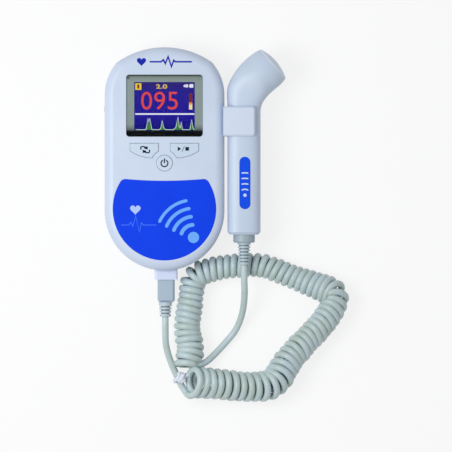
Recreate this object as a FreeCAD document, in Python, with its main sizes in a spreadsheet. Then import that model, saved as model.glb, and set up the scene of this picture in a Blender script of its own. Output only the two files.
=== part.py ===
import FreeCAD, Part
import math
import os
import re

import Sketcher

# A pocket fetal doppler: a handheld unit that lies on its back, a probe held in a clip on
# the unit's right side, and a curly cord from the unit's bottom end to the probe's tail.
# Millimetres. The origin is the middle of the unit's flat back, +Z comes out of the
# display, +Y points to the unit's top end and +X to the probe.

VEC = FreeCAD.Vector
UP, EAST, NORTH = VEC(0, 0, 1), VEC(1, 0, 0), VEC(0, 1, 0)

# Every driving size: the name used in expressions, its value, and what it measures.
SIZES = (
    # The case and its two shells.
    ("case_length", 135.0, "case, bottom end to top end"),
    ("case_width", 72.4, "case, side to side"),
    ("case_depth", 29.0, "case, back face to front face"),
    ("side_drop", 28.9, "top end down to where the straight sides end"),
    ("side_radius", 30.0, "curve of the upper sides"),
    ("top_radius", 50.0, "curve of the top end"),
    ("shoulder_radius", 6.0, "corner between side and top end"),
    ("front_round", 5.5, "round of the front edge"),
    ("rear_round", 4.0, "round of the rear edge"),
    ("wall", 2.0, "wall of both shells"),
    ("parting", 13.0, "height of the line between the shells"),
    ("tongue_wall", 0.8, "thickness of the rear shell's tongue"),
    ("tongue_rise", 1.5, "height of the tongue above the parting line"),
    ("tongue_gap", 0.1, "gap round the tongue"),
    ("past", 1.0, "cuts past a face, so that they go right through it"),
    # The display.
    ("window_width", 46.4, "recess for the window"),
    ("window_length", 37.6, "recess for the window"),
    ("window_y", 32.1, "middle of the window"),
    ("window_corner", 2.0, "corners of the window"),
    ("window_thick", 1.0, "acrylic window"),
    ("mask_thick", 0.2, "printed frame under the window"),
    ("window_gap", 0.1, "gap round the window"),
    ("window_sink", 0.05, "window below the front face"),
    ("view_width", 36.6, "part of the panel that shows"),
    ("view_length", 29.6, "part of the panel that shows"),
    ("view_y", 31.6, "middle of the part that shows"),
    ("opening_margin", 2.0, "case opening past the part that shows"),
    ("panel_rim", 1.2, "display panel past the part that shows"),
    ("panel_thick", 1.5, "display panel"),
    ("frame_rim", 2.4, "display frame past the panel"),
    ("frame_lip", 0.6, "display frame over the panel"),
    ("frame_open", 0.4, "gap between the part that shows and the frame's lip"),
    ("frame_corner", 1.0, "corners of the display frame"),
    ("light_thick", 2.6, "backlight under the panel"),
    # The keys on the front.
    ("power_y", -2.6, "middle of the round key"),
    ("power_radius", 5.0, "hole of the round key"),
    ("key_left", 20.9, "outer side of a side key's hole"),
    ("key_right", 3.4, "inner side of a side key's hole"),
    ("key_top", 9.5, "upper side of a side key's hole"),
    ("key_ring", 7.9, "side key's curve round the round key"),
    ("key_sweep", 23.0, "curve of a side key's lower side"),
    ("key_sweep_x", 7.4, "where that curve is lowest"),
    ("key_low", 0.36, "lowest point of that curve"),
    ("key_gap", 0.2, "gap between a key and its hole"),
    ("key_proud", 0.5, "key above the front face"),
    ("key_round", 0.4, "round of a key's top edge"),
    ("key_flange", 1.0, "flange under the case, past the hole"),
    ("flange_thick", 1.0, "thickness of that flange"),
    ("key_play", 0.1, "gap between flange and case"),
    ("key_travel", 0.8, "travel of a key"),
    ("switch_side", 6.0, "side of a switch"),
    ("switch_tall", 2.3, "height of a switch's base"),
    ("plunger_radius", 1.7, "plunger of a switch"),
    ("side_key_x", 12.0, "middle of a side key's switch"),
    ("side_key_y", 5.0, "middle of a side key's switch"),
    # The decorative sheet on the lower front.
    ("label_margin", 4.9, "case's side to the sheet's round part"),
    ("label_rise", 1.1, "middle of the round part above that of the case's bottom end"),
    ("label_dip_y", -13.2, "lowest point of the sheet's upper side"),
    ("label_dip_radius", 260.0, "hollow curve of the upper side"),
    ("label_corner", 3.5, "upper corners of the sheet"),
    ("label_thick", 0.25, "sheet"),
    ("label_recess", 0.3, "recess for the sheet"),
    ("label_gap", 0.1, "gap round the sheet"),
    # The main board and what it carries.
    ("board_drop", 9.0, "front face down to the board's underside"),
    ("board_thick", 1.6, "board"),
    ("board_inset", 3.4, "board's edge in from the case's outside"),
    ("boss_gap", 0.4, "board's holes round the bosses"),
    # The screws that join the shells.
    ("screw_top_x", 26.0, "upper screws, off the centre line"),
    ("screw_top_drop", 20.5, "upper screws down from the top end"),
    ("screw_low_x", 24.5, "lower screws, off the centre line"),
    ("screw_low_rise", 25.5, "lower screws up from the bottom end"),
    ("boss_radius", 3.25, "front shell's bosses"),
    ("column_radius", 3.6, "rear shell's columns"),
    ("screw_radius", 1.25, "shank of a case screw"),
    ("screw_gap", 0.05, "gap round a shank in its boss"),
    ("hole_gap", 0.2, "gap round a screw in the rear shell"),
    ("screw_head_radius", 2.5, "head of a case screw"),
    ("screw_head_tall", 1.8, "head of a case screw"),
    ("screw_sink", 5.0, "depth of the head's seat"),
    ("screw_length", 19.0, "height of a case screw's tip"),
    # The battery compartment and its door.
    ("cell_radius", 7.25, "AA cell"),
    ("cell_length", 49.5, "AA cell without its button"),
    ("button_radius", 2.75, "button of a cell"),
    ("button_tall", 1.0, "button of a cell"),
    ("cell_gap", 0.35, "gap round the cells"),
    ("cell_end", 2.0, "room for the contacts and springs at each end of a cell"),
    ("bay_drop", 6.4, "top end down to the compartment"),
    ("bay_wall", 1.2, "walls of the compartment"),
    ("contact_thick", 0.4, "contact plates"),
    ("contact_inset", 1.0, "contact plates in from the cells' outside"),
    ("spring_wire", 0.35, "radius of a spring's wire"),
    ("spring_wide", 4.2, "radius of a spring at its plate"),
    ("spring_narrow", 2.6, "radius of a spring at its cell"),
    ("spring_turns", 4.0, "turns of a spring"),
    ("door_thick", 1.9, "door"),
    ("door_skirt", 0.9, "height of the door's rails above the back"),
    ("door_rail", 1.2, "door's rails past its sides"),
    ("door_overlap", 0.7, "door's sides past the compartment"),
    ("door_low_lap", 1.6, "door past the compartment's lower end"),
    ("door_gap", 0.15, "gap round the door"),
    ("door_end_tall", 10.0, "height of the door's end wall"),
    ("rail_stop", 4.0, "housing of the rails, short of the compartment's upper end"),
    ("grip_low", 4.0, "thumb grooves, up from the door's lower end"),
    ("grip_length", 12.0, "thumb grooves in the door"),
    ("grip_width", 1.0, "thumb grooves in the door"),
    ("grip_depth", 0.5, "thumb grooves in the door"),
    ("grip_pitch", 2.2, "thumb grooves in the door"),
    # The loudspeaker.
    ("speaker_radius", 18.0, "loudspeaker's basket"),
    ("basket_thick", 1.2, "rim of the basket"),
    ("basket_rim", 2.0, "width of the basket's rim"),
    ("basket_sheet", 0.6, "sheet of the basket"),
    ("speaker_tall", 8.0, "loudspeaker, rim to magnet"),
    ("magnet_radius", 9.5, "loudspeaker's magnet"),
    ("magnet_tall", 3.4, "loudspeaker's magnet"),
    ("cone_thick", 0.5, "paper of the cone"),
    ("cone_rise", 0.2, "cone's edge above the basket's face"),
    ("cone_deep", 2.8, "cone, edge to cap"),
    ("cone_gap", 0.2, "gap between the cone's edge and the basket"),
    ("cap_radius", 5.5, "dust cap of the cone"),
    ("cap_dip", 0.4, "hollow of the dust cap"),
    ("seat_tall", 0.8, "ring that the rim sits on"),
    ("grille_hole", 1.1, "radius of a grille hole"),
    ("grille_ring", 4.0, "step between rings of grille holes"),
    # The volume wheel in the left side.
    ("wheel_drop", 37.5, "top end down to the wheel's middle"),
    ("wheel_radius", 8.0, "wheel"),
    ("wheel_proud", 0.4, "wheel past the case's side"),
    ("wheel_thick", 2.8, "wheel"),
    ("wheel_gap", 0.4, "gap between wheel and slot"),
    ("pin_radius", 1.2, "pin that the wheel turns on"),
    ("pin_gap", 0.05, "gap between pin and wheel"),
    ("pot_radius", 4.5, "volume control under the board"),
    ("pot_tall", 1.4, "volume control under the board"),
    ("knurl_radius", 0.35, "grooves of the wheel's rim"),
    ("knurl_count", 36.0, "grooves of the wheel's rim"),
    # The headphone jack in the left side.
    ("jack_space", 20.0, "wheel's middle down to the jack's"),
    ("jack_drop", 0.3, "board down to the jack's body"),
    ("jack_bore", 3.5, "hole of the jack"),
    ("jack_nose", 2.4, "radius of the jack's nose"),
    ("jack_gap", 0.1, "gap round the nose"),
    ("jack_sink", 0.3, "nose below the case's side"),
    ("jack_width", 5.0, "jack's body"),
    ("jack_length", 12.0, "jack's body"),
    # The probe's socket in the bottom end.
    ("socket_x", 0.9, "middle of the socket"),
    ("socket_z", 15.0, "middle of the socket"),
    ("socket_width", 13.8, "socket block"),
    ("socket_thick", 9.6, "socket block"),
    ("socket_proud", 5.6, "socket block past the bottom end"),
    ("socket_inside", 12.0, "socket block inside the bottom end"),
    ("socket_gap", 0.1, "gap round the socket block"),
    ("shell_width", 8.4, "metal shell of the plug"),
    ("shell_thick", 4.6, "metal shell of the plug"),
    ("shell_length", 8.0, "metal shell of the plug"),
    ("shell_wall", 0.4, "metal shell of the plug"),
    ("shell_seat", 2.0, "metal shell inside the plug's grip"),
    ("plug_play", 0.1, "gap between plug and socket"),
    ("mouth_spare", 0.6, "socket's mouth past the plug's shell"),
    ("plug_width", 10.4, "plug's grip"),
    ("plug_thick", 7.0, "plug's grip"),
    ("plug_length", 13.6, "plug's grip"),
    ("plug_bevel", 1.2, "bevels of the grip"),
    ("sleeve_length", 8.7, "plug's strain relief"),
    ("sleeve_offset", 0.5, "plug's strain relief off the plug's axis"),
    ("sleeve_wide", 4.0, "radius of the sleeve at the plug"),
    ("sleeve_narrow", 3.3, "radius of the sleeve at the cord"),
    # The clip on the right side.
    ("clip_y", 22.7, "middle of the clip"),
    ("clip_length", 17.9, "clip along the probe"),
    ("clip_past", 6.8, "tips of the clip's arms past the probe's axis"),
    ("clip_arm", 2.2, "clip's arms"),
    ("clip_web", 1.5, "clip's web on the case"),
    ("clip_gap", 0.3, "gap between clip and probe"),
    ("clip_corner", 2.0, "corners of the arms"),
    ("clip_hang", 0.7, "upper arm over the case's edge"),
    ("clip_bevel", 0.9, "bevels of the upper arm"),
    ("clip_screw_radius", 1.1, "screws of the clip"),
    ("clip_head_radius", 2.1, "screws of the clip"),
    ("clip_screw_pitch", 9.0, "between the clip's screws"),
    ("clip_boss_gap", 0.2, "gap between the tongue and the bosses for the clip's screws"),
    ("clip_screw_length", 7.0, "screws of the clip"),
    ("clip_boss_radius", 2.3, "bosses for the clip's screws"),
    ("clip_boss_depth", 4.0, "bosses for the clip's screws"),
    # The probe.
    ("probe_gap", 0.4, "gap between the clip's web and the probe"),
    ("probe_z", 19.6, "axis of the probe's shaft"),
    ("probe_width", 20.0, "shaft"),
    ("probe_thick", 18.0, "shaft"),
    ("probe_wall", 1.8, "wall of the probe's shells"),
    ("probe_tail", -45.8, "lower end of the shaft"),
    ("probe_bevel", 1.5, "bevel of that end"),
    ("bend_low", 28.6, "where the bend starts"),
    ("bend_radius", 30.0, "bend of the shaft's axis"),
    ("bend_angle", 49.3, "turn of the head"),
    ("head_radius", 12.6, "head"),
    ("head_offset", 0.25, "head off the bend's axis, outward"),
    ("rim_radius", 11.5, "head at its face"),
    ("head_length", 9.6, "head past the bend"),
    ("lens_thick", 1.2, "face plate at its rim"),
    ("lens_rise", 2.3, "bulge of the face plate"),
    ("spigot_radius", 9.6, "face plate inside the head"),
    ("spigot_depth", 2.0, "face plate inside the head"),
    ("crystal_radius", 8.0, "half discs behind the face plate"),
    ("crystal_thick", 0.8, "half discs behind the face plate"),
    ("crystal_gap", 0.8, "between the half discs"),
    ("backing_tall", 3.5, "damping block behind the crystals"),
    ("backing_past", 0.6, "damping block past the crystals"),
    ("probe_board_width", 11.0, "board in the probe"),
    ("probe_board_length", 52.0, "board in the probe"),
    ("probe_board_y", -10.0, "middle of the board in the probe"),
    ("probe_board_thick", 1.2, "board in the probe"),
    ("badge_width", 6.7, "blue badge on the shaft"),
    ("badge_length", 31.7, "blue badge on the shaft"),
    ("badge_y", -14.6, "middle of the badge"),
    ("badge_offset", 0.5, "badge off the shaft's axis"),
    ("badge_thick", 0.3, "badge"),
    ("badge_sink", 0.4, "recess for the badge"),
    ("badge_gap", 0.05, "gap round the badge"),
    ("badge_flat", 0.1, "straight stretch across the badge's ends"),
    ("collar_radius", 6.55, "collar at the probe's tail"),
    ("collar_length", 4.9, "collar at the probe's tail"),
    ("neck_radius", 4.4, "collar inside the shaft"),
    ("neck_length", 5.0, "collar inside the shaft"),
    ("relief_length", 13.4, "probe's strain relief"),
    ("relief_wide", 4.05, "radius of the relief at the collar"),
    ("relief_narrow", 2.9, "radius of the relief at the cord"),
    ("rib_pitch", 2.0, "grooves of the plug's strain relief"),
    ("rib_width", 0.8, "grooves of the plug's strain relief"),
    ("rib_depth", 0.9, "grooves of the plug's strain relief"),
    ("fine_pitch", 1.95, "grooves of the probe's strain relief"),
    ("fine_width", 0.9, "grooves of the probe's strain relief"),
    ("fine_depth", 0.8, "grooves of the probe's strain relief"),
    # The cord.
    ("cord_width", 4.0, "diameter of the cord"),
    ("coil_width", 16.0, "diameter of the curly stretch"),
    ("coil_lift", 0.05, "curly stretch above the table"),
    ("tie_band", 1.0, "thickness of the tie's band"),
    ("tie_width", 2.5, "width of the tie's band"),
    ("tie_gap", 0.3, "gap inside the tie's band"),
    ("tie_head", 5.6, "head of the tie"),
    ("tie_head_tall", 2.6, "head of the tie above its band"),
    ("tie_tail", 1.4, "stub of the tie's tail"),
)
NAMES = {name for name, _, _ in SIZES}

# Places and sizes that follow from those, spelt out wherever an expression uses their names.
WORKED_OUT = {
    "side_top": "case_length / 2 - side_drop",
    "bottom_middle": "case_width / 2 - case_length / 2",
    "label_radius": "case_width / 2 - label_margin",
    "label_y": "bottom_middle + label_rise",
    "board_low": "case_depth - board_drop",
    "screw_top_y": "case_length / 2 - screw_top_drop",
    "screw_low_y": "screw_low_rise - case_length / 2",
    "bay_length": "cell_length + button_tall + 2 * cell_end",
    "bay_low": "case_length / 2 - bay_drop - bay_length",
    "speaker_y": "bottom_middle",
    "wheel_y": "case_length / 2 - wheel_drop",
    "wheel_low": "board_low - pot_tall - wheel_gap - wheel_thick",
    "jack_y": "wheel_y - jack_space",
    "jack_z": "board_low - jack_drop - jack_width / 2",
    "probe_x": "case_width / 2 + clip_web + probe_gap + probe_width / 2",
    "clip_reach": "probe_x + clip_past",
    "clip_screw_z": "parting + tongue_rise + clip_boss_gap + clip_boss_radius",
    "seat_share": "(head_length - lens_thick) / head_length",
    "seat_radius": "head_radius - (head_radius - rim_radius) * seat_share * seat_share * seat_share",
}

doc = FreeCAD.newDocument("doppler_monitor")
sheet = doc.addObject("Spreadsheet::Sheet", "sizes")
for row, (name, number, meaning) in enumerate(SIZES, start=1):
    sheet.set(f"A{row}", meaning)
    sheet.set(f"B{row}", str(number))
    sheet.setAlias(f"B{row}", name)
doc.recompute()

parts = {}  # the finished sub-parts by name


# Expressions and placing ------------------------------------------------------------------


def spell(expression):
    """The expression with each name written as the document's own, or worked out from those."""

    def written(word):
        if word[0] in WORKED_OUT:
            return f"({spell(WORKED_OUT[word[0]])})"
        return f"sizes.{word[0]}" if word[0] in NAMES else word[0]

    return re.sub(r"[a-z_]+", written, expression)


def value(expression):
    """The number that an expression of size names comes to."""
    return float(sheet.evalExpression(spell(expression)))


def bind(thing, **properties):
    """Ties an object's properties to expressions of size names."""
    for key, expression in properties.items():
        thing.setExpression(key, spell(expression))


def place(thing, x="0", y="0", z="0", axis=None, angle="0"):
    """Gives an object its place, tied to expressions, turned about one axis."""
    thing.Placement = FreeCAD.Placement(VEC(), FreeCAD.Rotation(axis or UP, value(angle)))
    thing.setExpression("Placement.Base.x", spell(x))
    thing.setExpression("Placement.Base.y", spell(y))
    thing.setExpression("Placement.Base.z", spell(z))
    if angle != "0":
        thing.setExpression("Placement.Rotation.Angle", spell(angle))
    return thing


def keep(name, thing):
    """Names a finished sub-part."""
    thing.Label = name
    parts[name] = thing
    return thing


# Primitives and booleans ------------------------------------------------------------------


def box(name, x, y, z):
    """A box between the pairs of expressions x, y and z."""
    solid = doc.addObject("Part::Box", name)
    bind(solid, Length=f"({x[1]}) - ({x[0]})", Width=f"({y[1]}) - ({y[0]})", Height=f"({z[1]}) - ({z[0]})")
    return place(solid, x[0], y[0], z[0])


def rod(name, radius, start, length, axis=None, angle="0"):
    """A cylinder of some length that starts at a point, along +Z or turned about an axis."""
    solid = doc.addObject("Part::Cylinder", name)
    bind(solid, Radius=radius, Height=length)
    return place(solid, *start, axis=axis, angle=angle)


def join(name, *solids):
    union = doc.addObject("Part::MultiFuse", name)
    union.Shapes = list(solids)
    return union


def cut(name, base, *tools):
    """The base less the tools, which are joined first where there are several."""
    difference = doc.addObject("Part::Cut", name)
    difference.Base = base
    difference.Tool = tools[0] if len(tools) == 1 else join(name + "_tools", *tools)
    return difference


def common(name, base, tool):
    shared = doc.addObject("Part::Common", name)
    shared.Base = base
    shared.Tool = tool
    return shared


def group(name, *solids):
    """Separate solids that share one node."""
    together = doc.addObject("Part::Compound", name)
    together.Links = list(solids)
    return together


# Sketches held by constraints -------------------------------------------------------------

PLANES = {"XY": 1, "YZ": 1, "XZ": -1}  # which way along +Z, +X and +Y the sketch's normal points


class Drawing:
    """A sketch in one of a body's own planes, whose geometry is tied to the sheet."""

    def __init__(self, body, name, plane, level, origin=("0", "0")):
        self.sketch = body.newObject("Sketcher::SketchObject", name)
        support = next(f for f in body.Origin.OriginFeatures if f.Role == plane + "_Plane")
        self.sketch.AttachmentSupport = [(support, "")]
        self.sketch.MapMode = "FlatFace"
        sign = "" if PLANES[plane] > 0 else "-"
        self.sketch.setExpression("AttachmentOffset.Base.x", spell(origin[0]))
        self.sketch.setExpression("AttachmentOffset.Base.y", spell(origin[1]))
        self.sketch.setExpression("AttachmentOffset.Base.z", spell(f"{sign}({level})"))

    def hold(self, kind, *where, size):
        """A constraint with a size."""
        index = self.sketch.addConstraint(Sketcher.Constraint(kind, *where, value(size)))
        self.sketch.setExpression(f"Constraints[{index}]", spell(size))

    def link(self, kind, *where):
        """A constraint with no size."""
        self.sketch.addConstraint(Sketcher.Constraint(kind, *where))

    def pin(self, edge, end, x, y):
        """Holds a point of an edge at x, y: its start 1, its end 2 or its centre 3."""
        self.hold("DistanceX", -1, 1, edge, end, size=x)
        self.hold("DistanceY", -1, 1, edge, end, size=y)

    def line(self, start, end):
        return self.sketch.addGeometry(Part.LineSegment(VEC(*start, 0), VEC(*end, 0)))

    def arc(self, centre, radius, start, end):
        whole = Part.Circle(VEC(*centre, 0), UP, radius)
        return self.sketch.addGeometry(Part.ArcOfCircle(whole, start, end))

    def circle(self, x, y, radius):
        edge = self.sketch.addGeometry(Part.Circle(VEC(value(x), value(y), 0), UP, value(radius)))
        self.pin(edge, 3, x, y)
        self.hold("Radius", edge, size=radius)

    def polygon(self, *corners):
        """Straight lines through corners given as pairs of expressions."""
        points = [(value(x), value(y)) for x, y in corners]
        edges = [self.line(points[i], points[(i + 1) % len(points)]) for i in range(len(points))]
        for i, edge in enumerate(edges):
            self.link("Coincident", edge, 2, edges[(i + 1) % len(edges)], 1)
            self.pin(edge, 1, *corners[i])

    def rectangle(self, x, y):
        self.polygon((x[0], y[0]), (x[1], y[0]), (x[1], y[1]), (x[0], y[1]))

    def rounded(self, x, y, corner):
        """A rectangle between the pairs x and y, with round corners."""
        x0, x1, y0, y1 = value(x[0]), value(x[1]), value(y[0]), value(y[1])
        r = value(corner)
        quarter = math.pi / 2
        edges = [
            self.line((x0 + r, y0), (x1 - r, y0)),
            self.arc((x1 - r, y0 + r), r, -quarter, 0),
            self.line((x1, y0 + r), (x1, y1 - r)),
            self.arc((x1 - r, y1 - r), r, 0, quarter),
            self.line((x1 - r, y1), (x0 + r, y1)),
            self.arc((x0 + r, y1 - r), r, quarter, 2 * quarter),
            self.line((x0, y1 - r), (x0, y0 + r)),
            self.arc((x0 + r, y0 + r), r, 2 * quarter, 3 * quarter),
        ]
        self.smooth(edges)
        for edge in (edges[1], edges[3], edges[5], edges[7]):
            self.hold("Radius", edge, size=corner)
        self.pin(edges[1], 3, f"{x[1]} - ({corner})", f"{y[0]} + ({corner})")
        self.pin(edges[5], 3, f"{x[0]} + ({corner})", f"{y[1]} - ({corner})")

    def smooth(self, edges):
        """Joins each edge's end to the next one's start, in line with it."""
        for i, edge in enumerate(edges):
            self.link("Tangent", edge, 2, edges[(i + 1) % len(edges)], 1)


def rectangle(x, y):
    """A drawing function: a rectangle between the pairs of expressions x and y."""
    return lambda drawing: drawing.rectangle(x, y)


def polygon(*corners):
    """A drawing function: straight lines through the corners."""
    return lambda drawing: drawing.polygon(*corners)


def centred(width, middle="0"):
    """The pair of expressions of a stretch about a middle."""
    return (f"{middle} - ({width}) / 2", f"{middle} + ({width}) / 2")


def case_outline(drawing, inset="0"):
    """The case seen from the front, drawn inside its outer edge by the inset."""
    half = value(f"case_width / 2 - ({inset})")
    low = value("bottom_middle")
    side_x, side_y = value("case_width / 2 - side_radius"), value("side_top")
    side_r = value(f"side_radius - ({inset})")
    top_y, top_r = value("case_length / 2 - top_radius"), value(f"top_radius - ({inset})")
    shoulder_r = value(f"shoulder_radius - ({inset})")

    # The shoulder's centre is this far from the centres of the two arcs that it joins.
    from_side, from_top = side_r - shoulder_r, top_r - shoulder_r
    apart = math.hypot(side_x, side_y - top_y)
    lean = math.atan2(side_y - top_y, side_x)
    along = (from_top**2 - from_side**2 + apart**2) / (2 * apart)
    off = math.acos(along / from_top)
    shoulder = (from_top * math.cos(lean - off), top_y + from_top * math.sin(lean - off))
    side_end = math.atan2(shoulder[1] - side_y, shoulder[0] - side_x)
    top_start = math.atan2(shoulder[1] - top_y, shoulder[0])

    pi = math.pi
    edges = [
        drawing.arc((0, low), half, pi, 2 * pi),
        drawing.line((half, low), (half, side_y)),
        drawing.arc((side_x, side_y), side_r, 0, side_end),
        drawing.arc(shoulder, shoulder_r, side_end, top_start),
        drawing.arc((0, top_y), top_r, top_start, pi - top_start),
        drawing.arc((-shoulder[0], shoulder[1]), shoulder_r, pi - top_start, pi - side_end),
        drawing.arc((-side_x, side_y), side_r, pi - side_end, pi),
        drawing.line((-half, side_y), (-half, low)),
    ]
    drawing.smooth(edges)
    bottom, _, right, right_shoulder, top, left_shoulder, left, _ = edges
    drawing.pin(bottom, 3, "0", "bottom_middle")
    drawing.pin(top, 3, "0", "case_length / 2 - top_radius")
    drawing.pin(right, 3, "case_width / 2 - side_radius", "side_top")
    drawing.pin(left, 3, "side_radius - case_width / 2", "side_top")
    drawing.hold("Radius", bottom, size=f"case_width / 2 - ({inset})")
    drawing.hold("Radius", top, size=f"top_radius - ({inset})")
    for edge in (right, left):
        drawing.hold("Radius", edge, size=f"side_radius - ({inset})")
    for edge in (right_shoulder, left_shoulder):
        drawing.hold("Radius", edge, size=f"shoulder_radius - ({inset})")


def side_key_outline(drawing, side, grow):
    """A side key seen from the front, on side -1 or 1, larger than its hole by the growth."""
    g = value(grow)
    left, right, top = value("key_left") + g, value("key_right") - g, value("key_top") + g
    sweep = (value("key_sweep_x"), value("key_low + key_sweep"))
    sweep_r = value("key_sweep") + g
    ring_y, ring_r = value("power_y"), value("key_ring") - g
    left_y = sweep[1] - math.sqrt(sweep_r**2 - (left - sweep[0]) ** 2)
    right_y = ring_y + math.sqrt(ring_r**2 - right**2)
    apart = math.hypot(sweep[0], sweep[1] - ring_y)
    lean = math.atan2(sweep[1] - ring_y, sweep[0])
    off = math.acos((ring_r**2 - sweep_r**2 + apart**2) / (2 * apart * ring_r))
    meet = (ring_r * math.cos(lean - off), ring_y + ring_r * math.sin(lean - off))

    def arc_between(centre, radius, first, last):
        """An arc that runs anticlockwise on the right side and mirrored on the left one."""
        angles = [math.atan2(y - centre[1], side * (x - centre[0])) for x, y in (first, last)]
        return drawing.arc((side * centre[0], centre[1]), radius, *angles[::side])

    upper = drawing.line((side * right, top), (side * left, top))
    outer = drawing.line((side * left, top), (side * left, left_y))
    lower = arc_between(sweep, sweep_r, meet, (left, left_y))
    ring = arc_between((0, ring_y), ring_r, meet, (right, right_y))
    inner = drawing.line((side * right, right_y), (side * right, top))

    first, last = (1, 2)[::side]
    drawing.link("Coincident", upper, 2, outer, 1)
    drawing.link("Coincident", outer, 2, lower, last)
    drawing.link("Coincident", lower, first, ring, first)
    drawing.link("Coincident", ring, last, inner, 1)
    drawing.link("Coincident", inner, 2, upper, 1)
    drawing.link("Vertical", outer)
    drawing.link("Vertical", inner)
    drawing.pin(upper, 1, f"{side} * (key_right - ({grow}))", f"key_top + ({grow})")
    drawing.pin(upper, 2, f"{side} * (key_left + ({grow}))", f"key_top + ({grow})")
    drawing.pin(lower, 3, f"{side} * key_sweep_x", "key_low + key_sweep")
    drawing.hold("Radius", lower, size=f"key_sweep + ({grow})")
    drawing.pin(ring, 3, "0", "power_y")
    drawing.hold("Radius", ring, size=f"key_ring - ({grow})")


# Bodies and their features ----------------------------------------------------------------


def new_body(name):
    body = doc.addObject("PartDesign::Body", name)
    return keep(name, body)


def extrude(kind, body, name, draw, low, high, plane="XY", origin=("0", "0")):
    """Pads or pockets what draw(drawing) draws, from low to high along +Z, +X or +Y."""
    drawing = Drawing(body, f"{body.Name}_{name}_sketch", plane, low, origin)
    draw(drawing)
    feature = body.newObject(kind, f"{body.Name}_{name}")
    feature.Profile = drawing.sketch
    bind(feature, Length=f"({high}) - ({low})")
    with_normal = PLANES[plane] > 0
    feature.Reversed = with_normal if kind == "PartDesign::Pocket" else not with_normal
    drawing.sketch.Visibility = False
    doc.recompute()
    return feature


def pad(body, name, draw, low, high, plane="XY"):
    return extrude("PartDesign::Pad", body, name, draw, low, high, plane)


def pocket(body, name, draw, low, high, plane="XY", origin=("0", "0")):
    before = body.Shape.Volume
    feature = extrude("PartDesign::Pocket", body, name, draw, low, high, plane, origin)
    if body.Shape.Volume >= before:
        raise RuntimeError(f"{body.Name}: the pocket {name} cuts nothing")
    return feature


def dress(kind, body, name, edges, size):
    """Rounds or bevels some edges of a body's last feature."""
    base = body.Tip
    feature = body.newObject(kind, f"{body.Name}_{name}")
    feature.Base = (base, [f"Edge{i + 1}" for i in edges])
    bind(feature, **{"Radius" if kind.endswith("Fillet") else "Size": size})
    doc.recompute()
    return feature


def chosen(shape, test):
    """Which edges of a shape lie in a box that passes the test."""
    return [i for i, edge in enumerate(shape.Edges) if test(edge.BoundBox)]


def near(a, b, within=0.01):
    return abs(a - b) < within


def level_edges(body, level, within=None):
    """Edges of a body at one height, of these the ones whose middle passes the test within."""
    z = value(level)
    allowed = within or (lambda centre: True)
    return chosen(body.Shape, lambda b: near(b.ZMin, z) and near(b.ZMax, z) and allowed(b.Center))


def revolve(body, name, corners, plane="XY", axis="V_Axis"):
    """A solid of revolution of a closed outline in one of the body's planes."""
    drawing = Drawing(body, f"{body.Name}_{name}_sketch", plane, "0")
    drawing.polygon(*corners)
    feature = body.newObject("PartDesign::Revolution", f"{body.Name}_{name}")
    feature.Profile = drawing.sketch
    feature.ReferenceAxis = (drawing.sketch, [axis])
    feature.Angle = 360
    drawing.sketch.Visibility = False
    doc.recompute()
    return feature


SCREWS = tuple(
    (f"{side} * screw_{level}_x", f"screw_{level}_y") for level in ("top", "low") for side in (-1, 1)
)


def circles(places, radius):
    """A drawing function: a circle at each place."""

    def draw(drawing):
        for x, y in places:
            drawing.circle(x, y, radius)

    return draw


def rounded_window(margin, corner, x="0", y="window_y", width="window_width", length="window_length"):
    """A drawing function: a rounded rectangle that is smaller than a size by a margin all round."""
    half_width, half_length = f"{width} / 2 - ({margin})", f"{length} / 2 - ({margin})"

    def draw(drawing):
        sides = (f"{x} - ({half_width})", f"{x} + ({half_width})")
        ends = (f"{y} - ({half_length})", f"{y} + ({half_length})")
        if value(corner) > 0:
            drawing.rounded(sides, ends, corner)
        else:
            drawing.rectangle(sides, ends)

    return draw


def view_window(margin, corner="0"):
    """The same about the part of the panel that shows."""
    return rounded_window(margin, corner, "0", "view_y", "view_width", "view_length")


# The case ---------------------------------------------------------------------------------

INNER_FRONT = "case_depth - wall"
SIDE = "case_width / 2"
BOTTOM = "-case_length / 2"
TOP = "case_length / 2"
WINDOW_SEAT = "case_depth - window_thick - mask_thick"


def label_outline(grow):
    """A drawing function: a disc less what lies above a hollow curve, larger by the growth."""

    def draw(drawing):
        r, y = value(f"label_radius + ({grow})"), value("label_y")
        dip_r = value(f"label_dip_radius - ({grow})")
        dip_y = value("label_dip_y + label_dip_radius")
        apart = dip_y - y
        rise = (apart**2 + r**2 - dip_r**2) / (2 * apart)
        corner = math.asin(rise / r)
        x, corner_y = r * math.cos(corner), y + rise
        disc = drawing.arc((0, y), r, math.pi - corner, 2 * math.pi + corner)
        dip_start = math.atan2(corner_y - dip_y, -x)
        dip_end = math.atan2(corner_y - dip_y, x)
        dip = drawing.arc((0, dip_y), dip_r, dip_start, dip_end)
        drawing.link("Coincident", disc, 1, dip, 1)
        drawing.link("Coincident", disc, 2, dip, 2)
        drawing.pin(disc, 3, "0", "label_y")
        drawing.hold("Radius", disc, size=f"label_radius + ({grow})")
        drawing.pin(dip, 3, "0", "label_dip_y + label_dip_radius")
        drawing.hold("Radius", dip, size=f"label_dip_radius - ({grow})")

    return draw


def round_label_corners(body, low, size):
    """Rounds the two upright edges at the upper corners of the sheet or its recess."""
    z = value(low)
    far = value("label_radius / 2")
    upright = chosen(body.Shape, lambda b: near(b.ZMin, z) and near(b.DiagonalLength, b.ZLength)
                     and not near(b.ZLength, 0) and abs(b.XMin) > far)
    dress("PartDesign::Fillet", body, "corners", upright, size)


def key_holes(drawing):
    drawing.circle("0", "power_y", "power_radius")
    for side in (-1, 1):
        side_key_outline(drawing, side, "0")


def clip_screw_places(z="clip_screw_z"):
    return tuple((f"clip_y + {side} * clip_screw_pitch / 2", z) for side in (-1, 1))


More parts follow.
